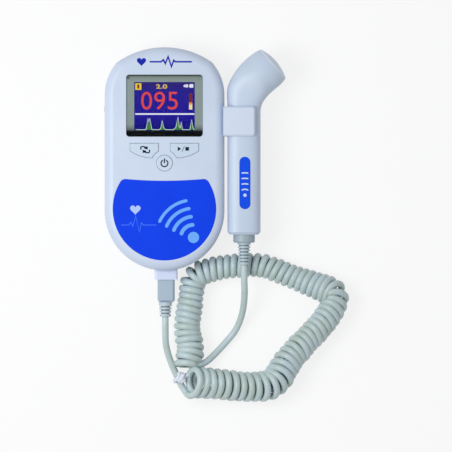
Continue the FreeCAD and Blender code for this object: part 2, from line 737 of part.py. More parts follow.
def front_shell():
    body = new_body("front_shell")
    pad(body, "block", case_outline, "parting", "case_depth")
    dress("PartDesign::Fillet", body, "front_edge", level_edges(body, "case_depth"), "front_round")
    pocket(body, "hollow", lambda d: case_outline(d, "wall"), "parting", INNER_FRONT)
    dress("PartDesign::Fillet", body, "inner_edge", level_edges(body, INNER_FRONT), "front_round - wall")
    pocket(body, "rebate", lambda d: case_outline(d, "wall - tongue_wall - tongue_gap"),
           "parting", "parting + tongue_rise + tongue_gap")
    pocket(body, "window_recess", rounded_window("0", "window_corner"), WINDOW_SEAT, "case_depth")
    opening = view_window("-opening_margin")
    pocket(body, "display_opening", opening, INNER_FRONT, WINDOW_SEAT)
    pocket(body, "key_holes", key_holes, INNER_FRONT, "case_depth")
    pocket(body, "label_recess", label_outline("0"), "case_depth - label_recess", "case_depth")
    round_label_corners(body, "case_depth - label_recess", "label_corner")
    pad(body, "bosses", circles(SCREWS, "boss_radius"), "parting + tongue_gap", f"{INNER_FRONT} + wall / 4")
    pilots = circles(SCREWS, "screw_radius + screw_gap")
    pocket(body, "pilot_bores", pilots, "parting - past", "screw_length + past")
    pad(body, "clip_bosses", circles(clip_screw_places(), "clip_boss_radius"),
        f"{SIDE} - wall - clip_boss_depth", f"{SIDE} - wall / 2", "YZ")
    pocket(body, "clip_bores", circles(clip_screw_places(), "clip_screw_radius + screw_gap"),
           f"{SIDE} - clip_screw_length", f"{SIDE} + past", "YZ")
    left = (f"-{SIDE} - past", f"-{SIDE} + wall + past")
    pocket(body, "wheel_slot", wheel_slot, *left, "YZ")
    pocket(body, "jack_hole", lambda d: d.circle("jack_y", "jack_z", "jack_nose + jack_gap"), *left, "YZ")
    socket_hole(body)


def wheel_slot(drawing):
    """The slot is as long as the wheel's chord inside the wall, and open all round the wheel."""
    inside = "(wheel_radius - wheel_proud - wall)"
    chord = f"sqrt(wheel_radius * wheel_radius - {inside} * {inside})"
    drawing.rectangle((f"wheel_y - {chord} - wheel_gap", f"wheel_y + {chord} + wheel_gap"),
                      ("wheel_low - wheel_gap", "wheel_low + wheel_thick + wheel_gap"))


def socket_section(grow="0"):
    """A drawing function: the socket block seen along Y, larger by the growth all round."""
    return rectangle(centred(f"socket_width + 2 * ({grow})", "socket_x"),
                     centred(f"socket_thick + 2 * ({grow})", "socket_z"))


def socket_hole(body):
    pocket(body, "socket_hole", socket_section("socket_gap"), f"{BOTTOM} - past",
           f"{BOTTOM} + socket_inside", "XZ")


BAY_HALF = "2 * cell_radius + 1.5 * cell_gap"
BAY_HIGH = "bay_low + bay_length"
BAY_TOP = "door_thick + door_gap + 2 * cell_radius + 2 * cell_gap"
DOOR_HALF = f"{BAY_HALF} + bay_wall + door_overlap"
DOOR_LOW = "bay_low - door_low_lap"
DOOR_END = f"{BAY_HIGH} + bay_wall"  # inner face of the door's end wall, less its gap


def rear_blank(body):
    """The solid outside of the rear shell, which the door is cut from as well."""
    pad(body, "block", case_outline, "0", "parting")
    dress("PartDesign::Fillet", body, "rear_edge", level_edges(body, "0"), "rear_round")


def door_slot(drawing):
    """The door's opening seen from the case's top end: a slot with grooves for the rails."""
    half, rail = f"{DOOR_HALF} + door_gap", f"{DOOR_HALF} + door_rail + door_gap"
    low, high = "door_skirt - door_gap", "door_thick + door_gap"
    drawing.polygon((f"-({half})", "-past"), (half, "-past"), (half, low), (rail, low), (rail, high),
                    (f"-({rail})", high), (f"-({rail})", low), (f"-({half})", low))


def rear_shell():
    body = new_body("rear_shell")
    rear_blank(body)
    pocket(body, "hollow", lambda d: case_outline(d, "wall"), "wall", "parting")
    dress("PartDesign::Fillet", body, "inner_edge", level_edges(body, "wall"), "rear_round - wall")
    low, high = "parting - wall", "parting + tongue_rise"
    pad(body, "tongue", lambda d: case_outline(d, "wall - tongue_wall"), low, high)
    pocket(body, "tongue_inside", lambda d: case_outline(d, "wall"), low, high)
    battery_bay(body)
    pad(body, "columns", circles(SCREWS, "column_radius"), "wall / 2", "parting - tongue_gap")
    pocket(body, "screw_seats", circles(SCREWS, "screw_head_radius + hole_gap"), "-past", "screw_sink")
    pocket(body, "screw_holes", circles(SCREWS, "screw_radius + hole_gap"), "screw_sink", "parting + past")
    speaker_seat(body)
    grille_holes(body)
    socket_hole(body)


def battery_bay(body):
    """A box for the cells, and a slot for the door that runs out of the case's top end."""
    bay_outer = rectangle(centred(f"2 * ({BAY_HALF} + bay_wall)"), ("bay_low - bay_wall", DOOR_END))
    bay_inner = rectangle(centred(f"2 * ({BAY_HALF})"), ("bay_low", BAY_HIGH))
    pad(body, "bay_block", bay_outer, "wall / 2", f"{BAY_TOP} + bay_wall")
    rails = rectangle(centred(f"2 * ({DOOR_HALF} + door_rail + bay_wall)"),
                      (f"{DOOR_LOW} - bay_wall", f"{BAY_HIGH} - rail_stop"))
    pad(body, "rail_block", rails, "wall / 2", "door_thick + door_gap + bay_wall")
    pocket(body, "bay", bay_inner, "-past", BAY_TOP)
    pocket(body, "door_slot", door_slot, f"{DOOR_LOW} - door_gap", f"{TOP} + past", "XZ")
    end_gap = rectangle(centred(f"2 * ({DOOR_HALF} + door_gap)"), (DOOR_END, f"{TOP} + past"))
    pocket(body, "door_end_gap", end_gap, "-past", "door_end_tall + door_gap")


def speaker_seat(body):
    """A ring with a nest for the loudspeaker's rim, open in the middle."""
    place = (("0", "speaker_y"),)
    nest_low, nest_high = "wall + seat_tall", "wall + seat_tall + basket_thick"
    pad(body, "speaker_ring", circles(place, "speaker_radius + bay_wall"), "wall / 2", nest_high)
    pocket(body, "speaker_nest", circles(place, "speaker_radius + screw_gap"), nest_low, nest_high)
    pocket(body, "speaker_hollow", circles(place, "speaker_radius - bay_wall"), "wall", nest_low)


GRILLE_RINGS = (6, 12, 18)  # holes in each ring of the grille


def grille_holes(body):
    """Rings of holes in the back, each ring a polar pattern of one hole."""
    centre = circles((("0", "speaker_y"),), "grille_hole")
    pocket(body, "grille_middle", centre, "-past", "wall + past")
    for ring, count in enumerate(GRILLE_RINGS, start=1):
        first = circles(((f"{ring} * grille_ring", "0"),), "grille_hole")
        hole = pocket(body, f"grille_ring_{ring}", first, "-past", "wall + past", origin=("0", "speaker_y"))
        ring_of(body, f"grille_pattern_{ring}", hole, str(count))


def ring_of(body, name, feature, count):
    """Repeats a feature round the origin of its own sketch."""
    pattern = body.newObject("PartDesign::PolarPattern", f"{body.Name}_{name}")
    pattern.Originals = [feature]
    pattern.Axis = (feature.Profile[0], ["N_Axis"])
    pattern.Angle = 360
    bind(pattern, Occurrences=count)
    body.Tip = pattern
    doc.recompute()


# The display ------------------------------------------------------------------------------

BOARD_TOP = "board_low + board_thick"
LIGHT_TOP = f"{BOARD_TOP} + light_thick"
PANEL_TOP = f"{LIGHT_TOP} + panel_thick"
PANEL_WIDTH = "view_width + 2 * panel_rim"
PANEL_LENGTH = "view_length + 2 * panel_rim"


def display():
    window = new_body("display_window")
    shape = rounded_window("window_gap", "window_corner - window_gap")
    pad(window, "sheet", shape, f"{WINDOW_SEAT} + mask_thick", "case_depth - window_sink")

    mask = new_body("window_mask")
    pad(mask, "sheet", shape, WINDOW_SEAT, f"{WINDOW_SEAT} + mask_thick")
    pocket(mask, "view", view_window("0"), WINDOW_SEAT, f"{WINDOW_SEAT} + mask_thick")

    across, along = centred(PANEL_WIDTH), centred(PANEL_LENGTH, "view_y")
    keep("backlight", box("backlight", across, along, (BOARD_TOP, LIGHT_TOP)))
    keep("display_panel", box("display_panel", across, along, (LIGHT_TOP, PANEL_TOP)))

    frame = new_body("display_frame")
    outer = view_window("-(panel_rim + frame_rim)", "frame_corner")
    pad(frame, "block", outer, BOARD_TOP, f"{PANEL_TOP} + frame_lip")
    pocket(frame, "nest", view_window("-(panel_rim + window_gap)"), f"{BOARD_TOP} - past", PANEL_TOP)
    pocket(frame, "lip", view_window("-frame_open"), f"{PANEL_TOP} - past", f"{PANEL_TOP} + frame_lip + past")


# The keys and the label -------------------------------------------------------------------

FLANGE_TOP = f"{INNER_FRONT} - key_play"
FLANGE_LOW = f"{FLANGE_TOP} - flange_thick"
KEY_TOP = "case_depth + key_proud"


def key(name, cap, flange):
    """A key: its cap stands in a hole of the case, its flange holds it from below."""
    body = new_body(name)
    pad(body, "cap", cap, f"{FLANGE_TOP} - flange_thick / 2", KEY_TOP)
    dress("PartDesign::Fillet", body, "rim", level_edges(body, KEY_TOP), "key_round")
    pad(body, "flange", flange, FLANGE_LOW, FLANGE_TOP)


def keys():
    key("power_button",
        lambda d: d.circle("0", "power_y", "power_radius - key_gap"),
        lambda d: d.circle("0", "power_y", "power_radius + key_flange"))
    for name, side in (("mode_button", -1), ("start_stop_button", 1)):
        key(name,
            lambda d, side=side: side_key_outline(d, side, "-key_gap"),
            lambda d, side=side: side_key_outline(d, side, "key_flange"))


def switches():
    """A switch on the board under each key, its plunger just clear of the key's travel."""
    places = (("power_switch", "0", "power_y"),
              ("mode_switch", "-side_key_x", "side_key_y"),
              ("start_stop_switch", "side_key_x", "side_key_y"))
    for name, x, y in places:
        base = box(name + "_base", centred("switch_side", x), centred("switch_side", y),
                   (BOARD_TOP, f"{BOARD_TOP} + switch_tall"))
        reach = f"{FLANGE_LOW} - key_travel - key_play - (board_low + board_thick)"
        plunger = rod(name + "_plunger", "plunger_radius", (x, y, BOARD_TOP), reach)
        keep(name, join(name, base, plunger))


def front_label():
    body = new_body("front_label")
    low = "case_depth - label_recess"
    pad(body, "sheet", label_outline("-label_gap"), low, f"{low} + label_thick")
    round_label_corners(body, low, "label_corner")


# The boards -------------------------------------------------------------------------------


def main_board():
    body = new_body("main_board")
    pad(body, "sheet", lambda d: case_outline(d, "board_inset"), "board_low", BOARD_TOP)
    holes = circles(SCREWS, "boss_radius + boss_gap")
    pocket(body, "boss_holes", holes, "board_low - past", f"{BOARD_TOP} + past")


CHIPS = (  # middle x, middle y, width, length and height of the board's parts
    (-16.0, -22.0, 10.0, 10.0, 1.4),
    (4.0, -24.0, 14.0, 14.0, 1.6),
    (20.0, -20.0, 6.0, 5.0, 1.8),
    (-10.0, -40.0, 7.0, 4.0, 1.8),
    (8.0, -43.0, 9.0, 6.0, 2.2),
    (-24.0, 6.0, 5.0, 4.0, 2.0),
    (26.0, 0.0, 4.0, 8.0, 2.4),
)


def board_chips():
    chips = []
    for i, (x, y, width, length, tall) in enumerate(CHIPS, start=1):
        chips.append(box(f"chip_{i}", centred(str(width), str(x)), centred(str(length), str(y)),
                         (BOARD_TOP, f"{BOARD_TOP} + {tall}")))
    keep("board_chips", group("board_chips", *chips))


def case_screws():
    screws = []
    seat = "screw_sink - screw_head_tall"
    for i, (x, y) in enumerate(SCREWS, start=1):
        head = rod(f"screw_head_{i}", "screw_head_radius", (x, y, seat), "screw_head_tall")
        shank = rod(f"screw_shank_{i}", "screw_radius", (x, y, seat), f"screw_length - ({seat})")
        screws.append(join(f"screw_{i}", head, shank))
    keep("case_screws", group("case_screws", *screws))


# The batteries ----------------------------------------------------------------------------

CELL_X = "cell_radius + cell_gap / 2"
CELL_Z = "door_thick + door_gap + cell_gap + cell_radius"
CELL_LOW = "bay_low + cell_end"


def battery_cover():
    body = new_body("battery_cover")
    rear_blank(body)
    low, thick = DOOR_LOW, "door_thick"
    end_face = f"{DOOR_END} + door_gap"
    rail, half = f"{DOOR_HALF} + door_rail", DOOR_HALF
    above = polygon(("-case_length", "-past"), (low, "-past"), (low, thick), (end_face, thick),
                    (end_face, "parting + past"), ("-case_length", "parting + past"))
    pocket(body, "above", above, "-case_width", "case_width", "YZ")
    whole = ("-case_length", "case_length")
    for name, side in (("left", -1), ("right", 1)):
        beyond_rail = (f"{side} * ({rail})", f"{side} * case_width")[::side]
        beyond_side = (f"{side} * ({half})", f"{side} * case_width")[::side]
        pocket(body, f"{name}_side", rectangle(beyond_rail, whole), "-past", "parting + past")
        pocket(body, f"{name}_rail", rectangle(beyond_side, whole), "-past", "door_skirt")
        end = rectangle(beyond_side, (end_face, "case_length"))
        pocket(body, f"{name}_end", end, "-past", "parting + past")
    end_top = rectangle(("-case_width", "case_width"), ("0", "case_length"))
    pocket(body, "end_top", end_top, "door_end_tall", "parting + past")
    for i in range(3):
        y = f"{low} + grip_low + {i} * grip_pitch"
        groove = rectangle(centred("grip_length"), (y, f"{y} + grip_width"))
        pocket(body, f"grip_{i + 1}", groove, "-past", "grip_depth")


def batteries():
    """Two AA cells side by side, the left one with its button up and the right one down."""
    for name, side in (("battery_left", -1), ("battery_right", 1)):
        x = f"{side} * ({CELL_X})"
        low = CELL_LOW if side < 0 else f"{CELL_LOW} + button_tall"
        can = rod(name + "_can", "cell_radius", (x, low, CELL_Z), "cell_length", EAST, "-90")
        button_low = f"{low} + cell_length" if side < 0 else CELL_LOW
        button = rod(name + "_button", "button_radius", (x, button_low, CELL_Z), "button_tall", EAST, "-90")
        keep(name, join(name, can, button))


def battery_contacts():
    """Plates on the compartment's end walls: one across both cells at the top, two below."""
    tall = centred("2 * (cell_radius - contact_inset)", CELL_Z)
    plates = [box("contact_top", centred("4 * cell_radius - 2 * contact_inset"),
                  (f"{BAY_HIGH} - contact_thick", BAY_HIGH), tall)]
    for name, side in (("left", -1), ("right", 1)):
        across = centred("2 * (cell_radius - contact_inset)", f"{side} * ({CELL_X})")
        plates.append(box(f"contact_{name}", across, ("bay_low", "bay_low + contact_thick"), tall))
    keep("battery_contacts", group("battery_contacts", *plates))


def spring(name, x, wide_y, narrow_y):
    """A conical spring from a contact plate to the flat end of a cell."""
    wide, narrow, wire = value("spring_wide"), value("spring_narrow"), value("spring_wire")
    length = abs(value(narrow_y) - value(wide_y)) - 2 * wire
    cone = math.degrees(math.atan2(narrow - wide, length))
    helix = Part.makeHelix(length / value("spring_turns"), length, wide, cone)
    first = helix.Edges[0]
    start, tangent = first.valueAt(first.FirstParameter), first.tangentAt(first.FirstParameter)
    section = Part.Wire([Part.makeCircle(wire, start, tangent)])
    coil = doc.addObject("Part::Feature", name)
    coil.Shape = Part.Wire(helix).makePipeShell([section], True, True)
    upward = value(narrow_y) > value(wide_y)
    turn = FreeCAD.Rotation(EAST, -90 if upward else 90)
    base_y = value(wide_y) + (wire if upward else -wire)
    coil.Placement = FreeCAD.Placement(VEC(value(x), base_y, value(CELL_Z)), turn)
    return coil


def battery_springs():
    left = spring("spring_left", f"-({CELL_X})", "bay_low + contact_thick", CELL_LOW)
    right = spring("spring_right", CELL_X, f"{BAY_HIGH} - contact_thick",
                   f"{CELL_LOW} + button_tall + cell_length")
    keep("battery_springs", group("battery_springs", left, right))


# The loudspeaker, the volume wheel, the jack and the socket --------------------------------


def speaker():
    low = "wall + seat_tall"
    frame = new_body("speaker_frame")
    radius, tall = "speaker_radius", f"{low} + speaker_tall"
    neck = f"{tall} - magnet_tall"
    rim_top, inner_rim = f"{low} + basket_thick", "speaker_radius - basket_rim"
    revolve(frame, "basket", (
        (inner_rim, low), (radius, low), (radius, rim_top), (f"{inner_rim} + basket_sheet", rim_top),
        ("magnet_radius + basket_sheet", neck), ("magnet_radius", neck), ("magnet_radius", tall), ("0", tall),
        ("0", f"{neck} + basket_sheet"), ("magnet_radius - basket_sheet", f"{neck} + basket_sheet"),
        ("magnet_radius", f"{neck} - basket_sheet"), (inner_rim, f"{rim_top} - basket_sheet")), plane="XZ")
    place(frame, "0", "speaker_y", "0")
    cone = new_body("speaker_cone")
    edge, edge_low = f"{inner_rim} - cone_gap", f"{low} + cone_rise"
    cap_low = f"{edge_low} + cone_deep"
    revolve(cone, "paper", (
        ("0", f"{cap_low} - cap_dip"), ("cap_radius", cap_low), (edge, edge_low),
        (edge, f"{edge_low} + cone_thick"), ("cap_radius", f"{cap_low} + cone_thick"),
        ("0", f"{cap_low} - cap_dip + cone_thick")), plane="XZ")
    place(cone, "0", "speaker_y", "0")


WHEEL_X = f"-({SIDE} + wheel_proud - wheel_radius)"


def volume_control():
    wheel = new_body("volume_wheel")
    middle = (("0", "0"),)
    pad(wheel, "disc", circles(middle, "wheel_radius"), "0", "wheel_thick")
    through = ("-past", "wheel_thick + past")
    pocket(wheel, "bore", circles(middle, "pin_radius + pin_gap"), *through)
    groove = pocket(wheel, "groove", circles((("wheel_radius", "0"),), "knurl_radius"), *through)
    ring_of(wheel, "knurl", groove, "knurl_count")
    place(wheel, WHEEL_X, "wheel_y", "wheel_low")

    body = rod("pot_body", "pot_radius", (WHEEL_X, "wheel_y", "board_low - pot_tall"), "pot_tall")
    pin = rod("pot_pin", "pin_radius", (WHEEL_X, "wheel_y", "wheel_low - wheel_gap"),
              "board_low - wheel_low + wheel_gap")
    keep("volume_pot", join("volume_pot", body, pin))


def headphone_jack():
    middle = ("jack_y", "jack_z")
    nose = rod("jack_nose_rod", "jack_nose", (f"-{SIDE} + jack_sink", *middle),
               "wall + jack_width / 2", NORTH, "90")
    inside = f"-{SIDE} + wall + jack_gap"
    block = box("jack_block", (inside, f"{inside} + jack_length"),
                centred("jack_width", "jack_y"), centred("jack_width", "jack_z"))
    bore = rod("jack_bore_rod", "jack_bore / 2", (f"-{SIDE} - past", *middle),
               "wall + jack_gap + jack_length + 2 * past", NORTH, "90")
    keep("headphone_jack", cut("headphone_jack", join("jack_outside", nose, block), bore))


SOCKET_FACE = f"{BOTTOM} - socket_proud"


def probe_socket():
    body = new_body("probe_socket")
    pad(body, "block", socket_section(), SOCKET_FACE, f"{BOTTOM} + socket_inside", "XZ")
    long = value("socket_proud")
    sides = chosen(body.Shape, lambda b: near(b.YMin, value(SOCKET_FACE)) and b.YLength > long)
    dress("PartDesign::Fillet", body, "sides", sides, "plug_bevel")
    mouth = rectangle(centred("shell_width + 2 * plug_play", "socket_x"),
                      centred("shell_thick + 2 * plug_play", "socket_z"))
    pocket(body, "mouth", mouth, f"{SOCKET_FACE} - past", f"{SOCKET_FACE} + shell_length + mouth_spare", "XZ")


# The plug ---------------------------------------------------------------------------------

GRIP_TOP = f"{SOCKET_FACE} - plug_play"
GRIP_LOW = f"{GRIP_TOP} - plug_length"
SLEEVE_LOW = f"{GRIP_LOW} - sleeve_length"


def plug():
    body = new_body("plug_body")
    grip = rectangle(centred("plug_width", "socket_x"), centred("plug_thick", "socket_z"))
    pad(body, "grip", grip, GRIP_LOW, GRIP_TOP, "XZ")
    long = value("plug_length / 2")
    sides = chosen(body.Shape, lambda b: b.YLength > long)
    dress("PartDesign::Chamfer", body, "bevels", sides, "plug_bevel")
    low = chosen(body.Shape, lambda b: near(b.YMin, value(GRIP_LOW)) and near(b.YMax, value(GRIP_LOW)))
    dress("PartDesign::Chamfer", body, "taper", low, "plug_bevel")
    section = rectangle(centred("shell_width", "socket_x"), centred("shell_thick", "socket_z"))
    pocket(body, "shell_seat", section, f"{GRIP_TOP} - shell_seat", f"{GRIP_TOP} + past", "XZ")

    shell = new_body("plug_contacts")
    pad(shell, "shell", section, f"{GRIP_TOP} - shell_seat", f"{GRIP_TOP} + shell_length", "XZ")
    inside = rectangle(centred("shell_width - 2 * shell_wall", "socket_x"),
                       centred("shell_thick - 2 * shell_wall", "socket_z"))
    pocket(shell, "hollow", inside, GRIP_TOP, f"{GRIP_TOP} + shell_length + past", "XZ")

    relief("plug_strain_relief", ("socket_x - sleeve_offset", "socket_z"), GRIP_LOW,
           ("sleeve_wide", "sleeve_narrow"), "sleeve_length", ("rib_pitch", "rib_width", "rib_depth"), 3)


def relief(name, middle, top, radii, length, ribs, count):
    """A tapered sleeve along -Y from its wide top, with grooves round it near its low end."""
    x, z = middle
    wide, narrow = radii
    pitch, width, depth = ribs
    sleeve = doc.addObject("Part::Cone", name + "_cone")
    bind(sleeve, Radius1=wide, Radius2=narrow, Height=length)
    place(sleeve, x, top, z, EAST, "90")
    grooves = []
    for i in range(1, count + 1):
        low = f"{top} - {length} + {pitch} * {i} - {width} / 2"
        outer = rod(f"{name}_groove_{i}", f"{wide} + past", (x, low, z), width, EAST, "-90")
        core = f"{narrow} + ({wide} - {narrow}) * {pitch} * {i} / {length} - {depth}"
        inner = rod(f"{name}_core_{i}", core, (x, f"{low} - past", z), f"{width} + 2 * past", EAST, "-90")
        grooves.append(cut(f"{name}_ring_{i}", outer, inner))
    return keep(name, cut(name, sleeve, *grooves))


# The clip ---------------------------------------------------------------------------------

PROBE_FRONT = "probe_z + probe_thick / 2"
PROBE_BACK = "probe_z - probe_thick / 2"


def probe_clip():
    """A C seen from its end, open to +X, with the probe between its arms."""
    body = new_body("probe_clip")
    low, high = f"{PROBE_BACK} - clip_gap", f"{PROBE_FRONT} + clip_gap"
    web = f"{SIDE} + clip_web"

    top, over = f"{high} + clip_arm", f"{SIDE} - clip_hang"
    profile = polygon((SIDE, f"{low} - clip_arm"), ("clip_reach", f"{low} - clip_arm"), ("clip_reach", low),
                      (web, low), (web, high), ("clip_reach", high), ("clip_reach", top), (over, top),
                      (over, high), (SIDE, high))
    pad(body, "profile", profile, "clip_y - clip_length / 2", "clip_y + clip_length / 2", "XZ")
    reach, arm = value("clip_reach"), value("clip_arm")
    tips = chosen(body.Shape, lambda b: near(b.XMin, reach) and near(b.ZLength, arm))
    dress("PartDesign::Fillet", body, "tips", tips, "clip_corner")
    long = value("probe_width / 2")
    ends = chosen(body.Shape, lambda b: near(b.ZMin, value(top)) and b.XLength > long and near(b.YLength, 0))
    dress("PartDesign::Chamfer", body, "bevels", ends, "clip_bevel")
    holes = circles(clip_screw_places(), "clip_screw_radius + screw_gap")
    pocket(body, "screw_holes", holes, f"{SIDE} - past", f"{web} + past", "YZ")
    web_x, wide = value(web), value("clip_screw_pitch")
    mouths = chosen(body.Shape, lambda b: near(b.XMin, web_x) and near(b.XLength, 0) and b.YLength < wide)
    dress("PartDesign::Chamfer", body, "countersinks", mouths, "clip_head_radius - clip_screw_radius")


def clip_screws():
    screws = []
    head_tall = "clip_head_radius - clip_screw_radius"
    for i, (y, z) in enumerate(clip_screw_places(), start=1):
        head = doc.addObject("Part::Cone", f"clip_screw_head_{i}")
        bind(head, Radius1="clip_screw_radius", Radius2="clip_head_radius", Height=head_tall)
        place(head, f"{SIDE} + clip_web - ({head_tall})", y, z, NORTH, "90")
        tip = (f"{SIDE} + clip_web - clip_screw_length", y, z)
        shank = rod(f"clip_screw_shank_{i}", "clip_screw_radius", tip, f"clip_screw_length - ({head_tall})",
                    NORTH, "90")
        screws.append(join(f"clip_screw_{i}", head, shank))
    keep("clip_screws", group("clip_screws", *screws))


# The probe --------------------------------------------------------------------------------

SECTION_POINTS = 32  # points of one cross-section of the bent head
SHAFT_POWER = 3.2  # the shaft is a rounded square: 2 would be an ellipse
OUTER_WIDENING = (0.04, 0.5)  # shares of the bend between which its outer side widens
INNER_WIDENING = (0, 1)  # and between which its inner side does
THICKENING = (0.15, 1)  # and between which it gets thick
ROUNDING = (0.4, 1)  # and between which its section turns round
BEND_STATIONS = (0, 0.07, 0.14, 0.22, 0.31, 0.42, 0.55, 0.7, 0.85, 1)  # shares of the bend
HEAD_STATIONS = (0.35, 0.65, 0.85, 1)  # shares of the straight head


def cross_section(centre, sideways, width, thick, power):
    """A closed smooth curve about a centre, wide sideways and thick along Z."""
    points = []
    for i in range(SECTION_POINTS):
        turn = 2 * math.pi * i / SECTION_POINTS
        across, along = math.cos(turn), math.sin(turn)
        x = math.copysign(abs(across) ** (2 / power), across) * width
        z = math.copysign(abs(along) ** (2 / power), along) * thick
        points.append(centre + sideways * x + UP * z)
    curve = Part.BSplineCurve()
    curve.interpolate(points, PeriodicFlag=True)
    return Part.Wire([curve.toShape()])


def eased(share, span):
    """How far a share is through a span, 0 before it and 1 after it, easing in and out."""
    through = min(max((share - span[0]) / (span[1] - span[0]), 0), 1)
    return through * through * (3 - 2 * through)


def probe_blank(name, inset, tail, head_end):
    """The probe's outside less an inset: a straight shaft, a bend and a round head."""
    x, z = value("probe_x"), value("probe_z")
    low, radius, angle = value("bend_low"), value("bend_radius"), math.radians(value("bend_angle"))
    half_width, half_thick = value("probe_width") / 2 - inset, value("probe_thick") / 2 - inset
    head, rim, offset = value("head_radius") - inset, value("rim_radius") - inset, value("head_offset")
    length = value("head_length")

    sections = []
    for share in BEND_STATIONS:
        turn = share * angle
        outer = half_width + (head + offset - half_width) * eased(share, OUTER_WIDENING)
        inner = half_width + (head - offset - half_width) * eased(share, INNER_WIDENING)
        outward = VEC(-math.cos(turn), math.sin(turn), 0)
        centre = VEC(x + radius, low, z) + outward * (radius + (outer - inner) / 2)
        thick = half_thick + (head - half_thick) * eased(share, THICKENING)
        power = SHAFT_POWER + (2 - SHAFT_POWER) * eased(share, ROUNDING)
        sections.append(cross_section(centre, outward, (outer + inner) / 2, thick, power))
    outward = VEC(-math.cos(angle), math.sin(angle), 0)
    onward = VEC(math.sin(angle), math.cos(angle), 0)
    bend_end = VEC(x + radius, low, z) + outward * radius
    for share in HEAD_STATIONS:
        along = share * head_end
        size = head - (head - rim) * (along / length) ** 3
        centre = bend_end + onward * along + outward * offset * (1 - share)
        sections.append(cross_section(centre, outward, size, size, 2))
    bent = Part.makeLoft(sections, True, False)

    foot = cross_section(VEC(x, tail, z), VEC(-1, 0, 0), half_width, half_thick, SHAFT_POWER)
    shaft = Part.Face(foot).extrude(VEC(0, low - tail, 0))
    if inset == 0:
        end_edge = [edge for edge in shaft.Edges if near(edge.BoundBox.YMax, tail)]
        shaft = shaft.makeChamfer(value("probe_bevel"), end_edge)
    blank = doc.addObject("Part::Feature", name)
    blank.Shape = shaft.fuse(bent)
    return blank


def face_place(thing, along):
    """Puts a thing, made along +Y from the origin, on the head's axis past the bend."""
    x = f"probe_x + bend_radius * (1 - cos(bend_angle)) + ({along}) * sin(bend_angle)"
    y = f"bend_low + bend_radius * sin(bend_angle) + ({along}) * cos(bend_angle)"
    return place(thing, x, y, "probe_z", UP, "-bend_angle")


FACE_SEAT = "head_length - lens_thick"


def probe_shells():
    outside = probe_blank("probe_outside", 0, value("probe_tail"), value(FACE_SEAT))
    wall = value("probe_wall")
    inside = probe_blank("probe_inside", wall, value("probe_tail") + wall, value("head_length"))
    neck = rod("collar_hole", "neck_radius + screw_gap", ("probe_x", "probe_tail - past", "probe_z"),
               "probe_wall + 2 * past", EAST, "-90")
    hollow = cut("probe_hollow", outside, inside, neck)
    far = "2 * case_length"
    front = box("probe_front_half", centred(far), centred(far), ("probe_z", f"probe_z + {far}"))
    rear = box("probe_rear_half", centred(far), centred(far), (f"probe_z - {far}", "probe_z"))
    recess = doc.addObject("PartDesign::Body", "badge_recess")
    pad(recess, "cut", badge_outline("0"), f"{PROBE_FRONT} - badge_sink", f"{PROBE_FRONT} + past")
    keep("probe_shell_front", cut("probe_shell_front", common("probe_front", hollow, front), recess))
    keep("probe_shell_rear", common("probe_shell_rear", hollow, rear))

    badge = new_body("probe_badge")
    low = f"{PROBE_FRONT} - badge_sink"
    pad(badge, "sheet", badge_outline("badge_gap"), low, f"{low} + badge_thick")


def badge_outline(margin):
    """A drawing function: a strip with round ends, smaller than the recess by the margin."""
    corner = f"(badge_width - badge_flat) / 2 - ({margin})"
    return rounded_window(margin, corner, "probe_x + badge_offset", "badge_y", "badge_width", "badge_length")


def probe_face():
    """A plate that closes the head: a spigot inside it, and a bulging outer side."""
    body = new_body("probe_face")
    drawing = Drawing(body, "probe_face_profile", "XY", "0")
    rim, seat = value("rim_radius"), value("seat_radius")
    thick, rise = value("lens_thick"), value("lens_rise")
    spigot, depth = value("spigot_radius"), value("spigot_depth")
    bulge = (rim**2 + rise**2) / (2 * rise)
    centre = (0, thick + rise - bulge)
    corners = [(0, -depth), (spigot, -depth), (spigot, 0), (seat, 0), (rim, thick)]
    names = [("0", "-spigot_depth"), ("spigot_radius", "-spigot_depth"), ("spigot_radius", "0"),
             ("seat_radius", "0"), ("rim_radius", "lens_thick")]
    edges = [drawing.line(a, b) for a, b in zip(corners, corners[1:])]
    edges.append(drawing.arc(centre, bulge, math.atan2(thick - centre[1], rim), math.pi / 2))
    edges.append(drawing.line((0, thick + rise), (0, -depth)))
    for i, edge in enumerate(edges):
        drawing.link("Coincident", edge, 2, edges[(i + 1) % len(edges)], 1)
    for edge, (x, y) in zip(edges, names):
        drawing.pin(edge, 1, x, y)
    drawing.pin(edges[-1], 1, "0", "lens_thick + lens_rise")
    squares = "(rim_radius * rim_radius + lens_rise * lens_rise)"
    drawing.hold("Radius", edges[-2], size=f"{squares} / (2 * lens_rise)")
    feature = body.newObject("PartDesign::Revolution", "probe_face_disc")
    feature.Profile = drawing.sketch
    feature.ReferenceAxis = (drawing.sketch, ["V_Axis"])
    feature.Angle = 360
    face_place(body, FACE_SEAT)


def probe_insides():
    crystal_low = "-spigot_depth - crystal_thick"
    disc = rod("crystal_disc", "crystal_radius", ("0", crystal_low, "0"), "crystal_thick", EAST, "-90")
    slot = box("crystal_slot", centred("crystal_gap"), ("-head_length", "head_length"),
               ("-head_radius", "head_radius"))
    keep("piezo_crystals", face_place(cut("piezo_crystals", disc, slot), FACE_SEAT))
    block = rod("damping_block", "crystal_radius + backing_past", ("0", f"{crystal_low} - backing_tall", "0"),
                "backing_tall", EAST, "-90")
    channel = rod("wire_channel", "crystal_gap", ("0", "-head_length", "0"), "2 * head_length", EAST, "-90")
    keep("crystal_backing", face_place(cut("crystal_backing", block, channel), FACE_SEAT))
    keep("probe_board", box("probe_board", centred("probe_board_width", "probe_x"),
                            centred("probe_board_length", "probe_board_y"),
                            centred("probe_board_thick", "probe_z")))


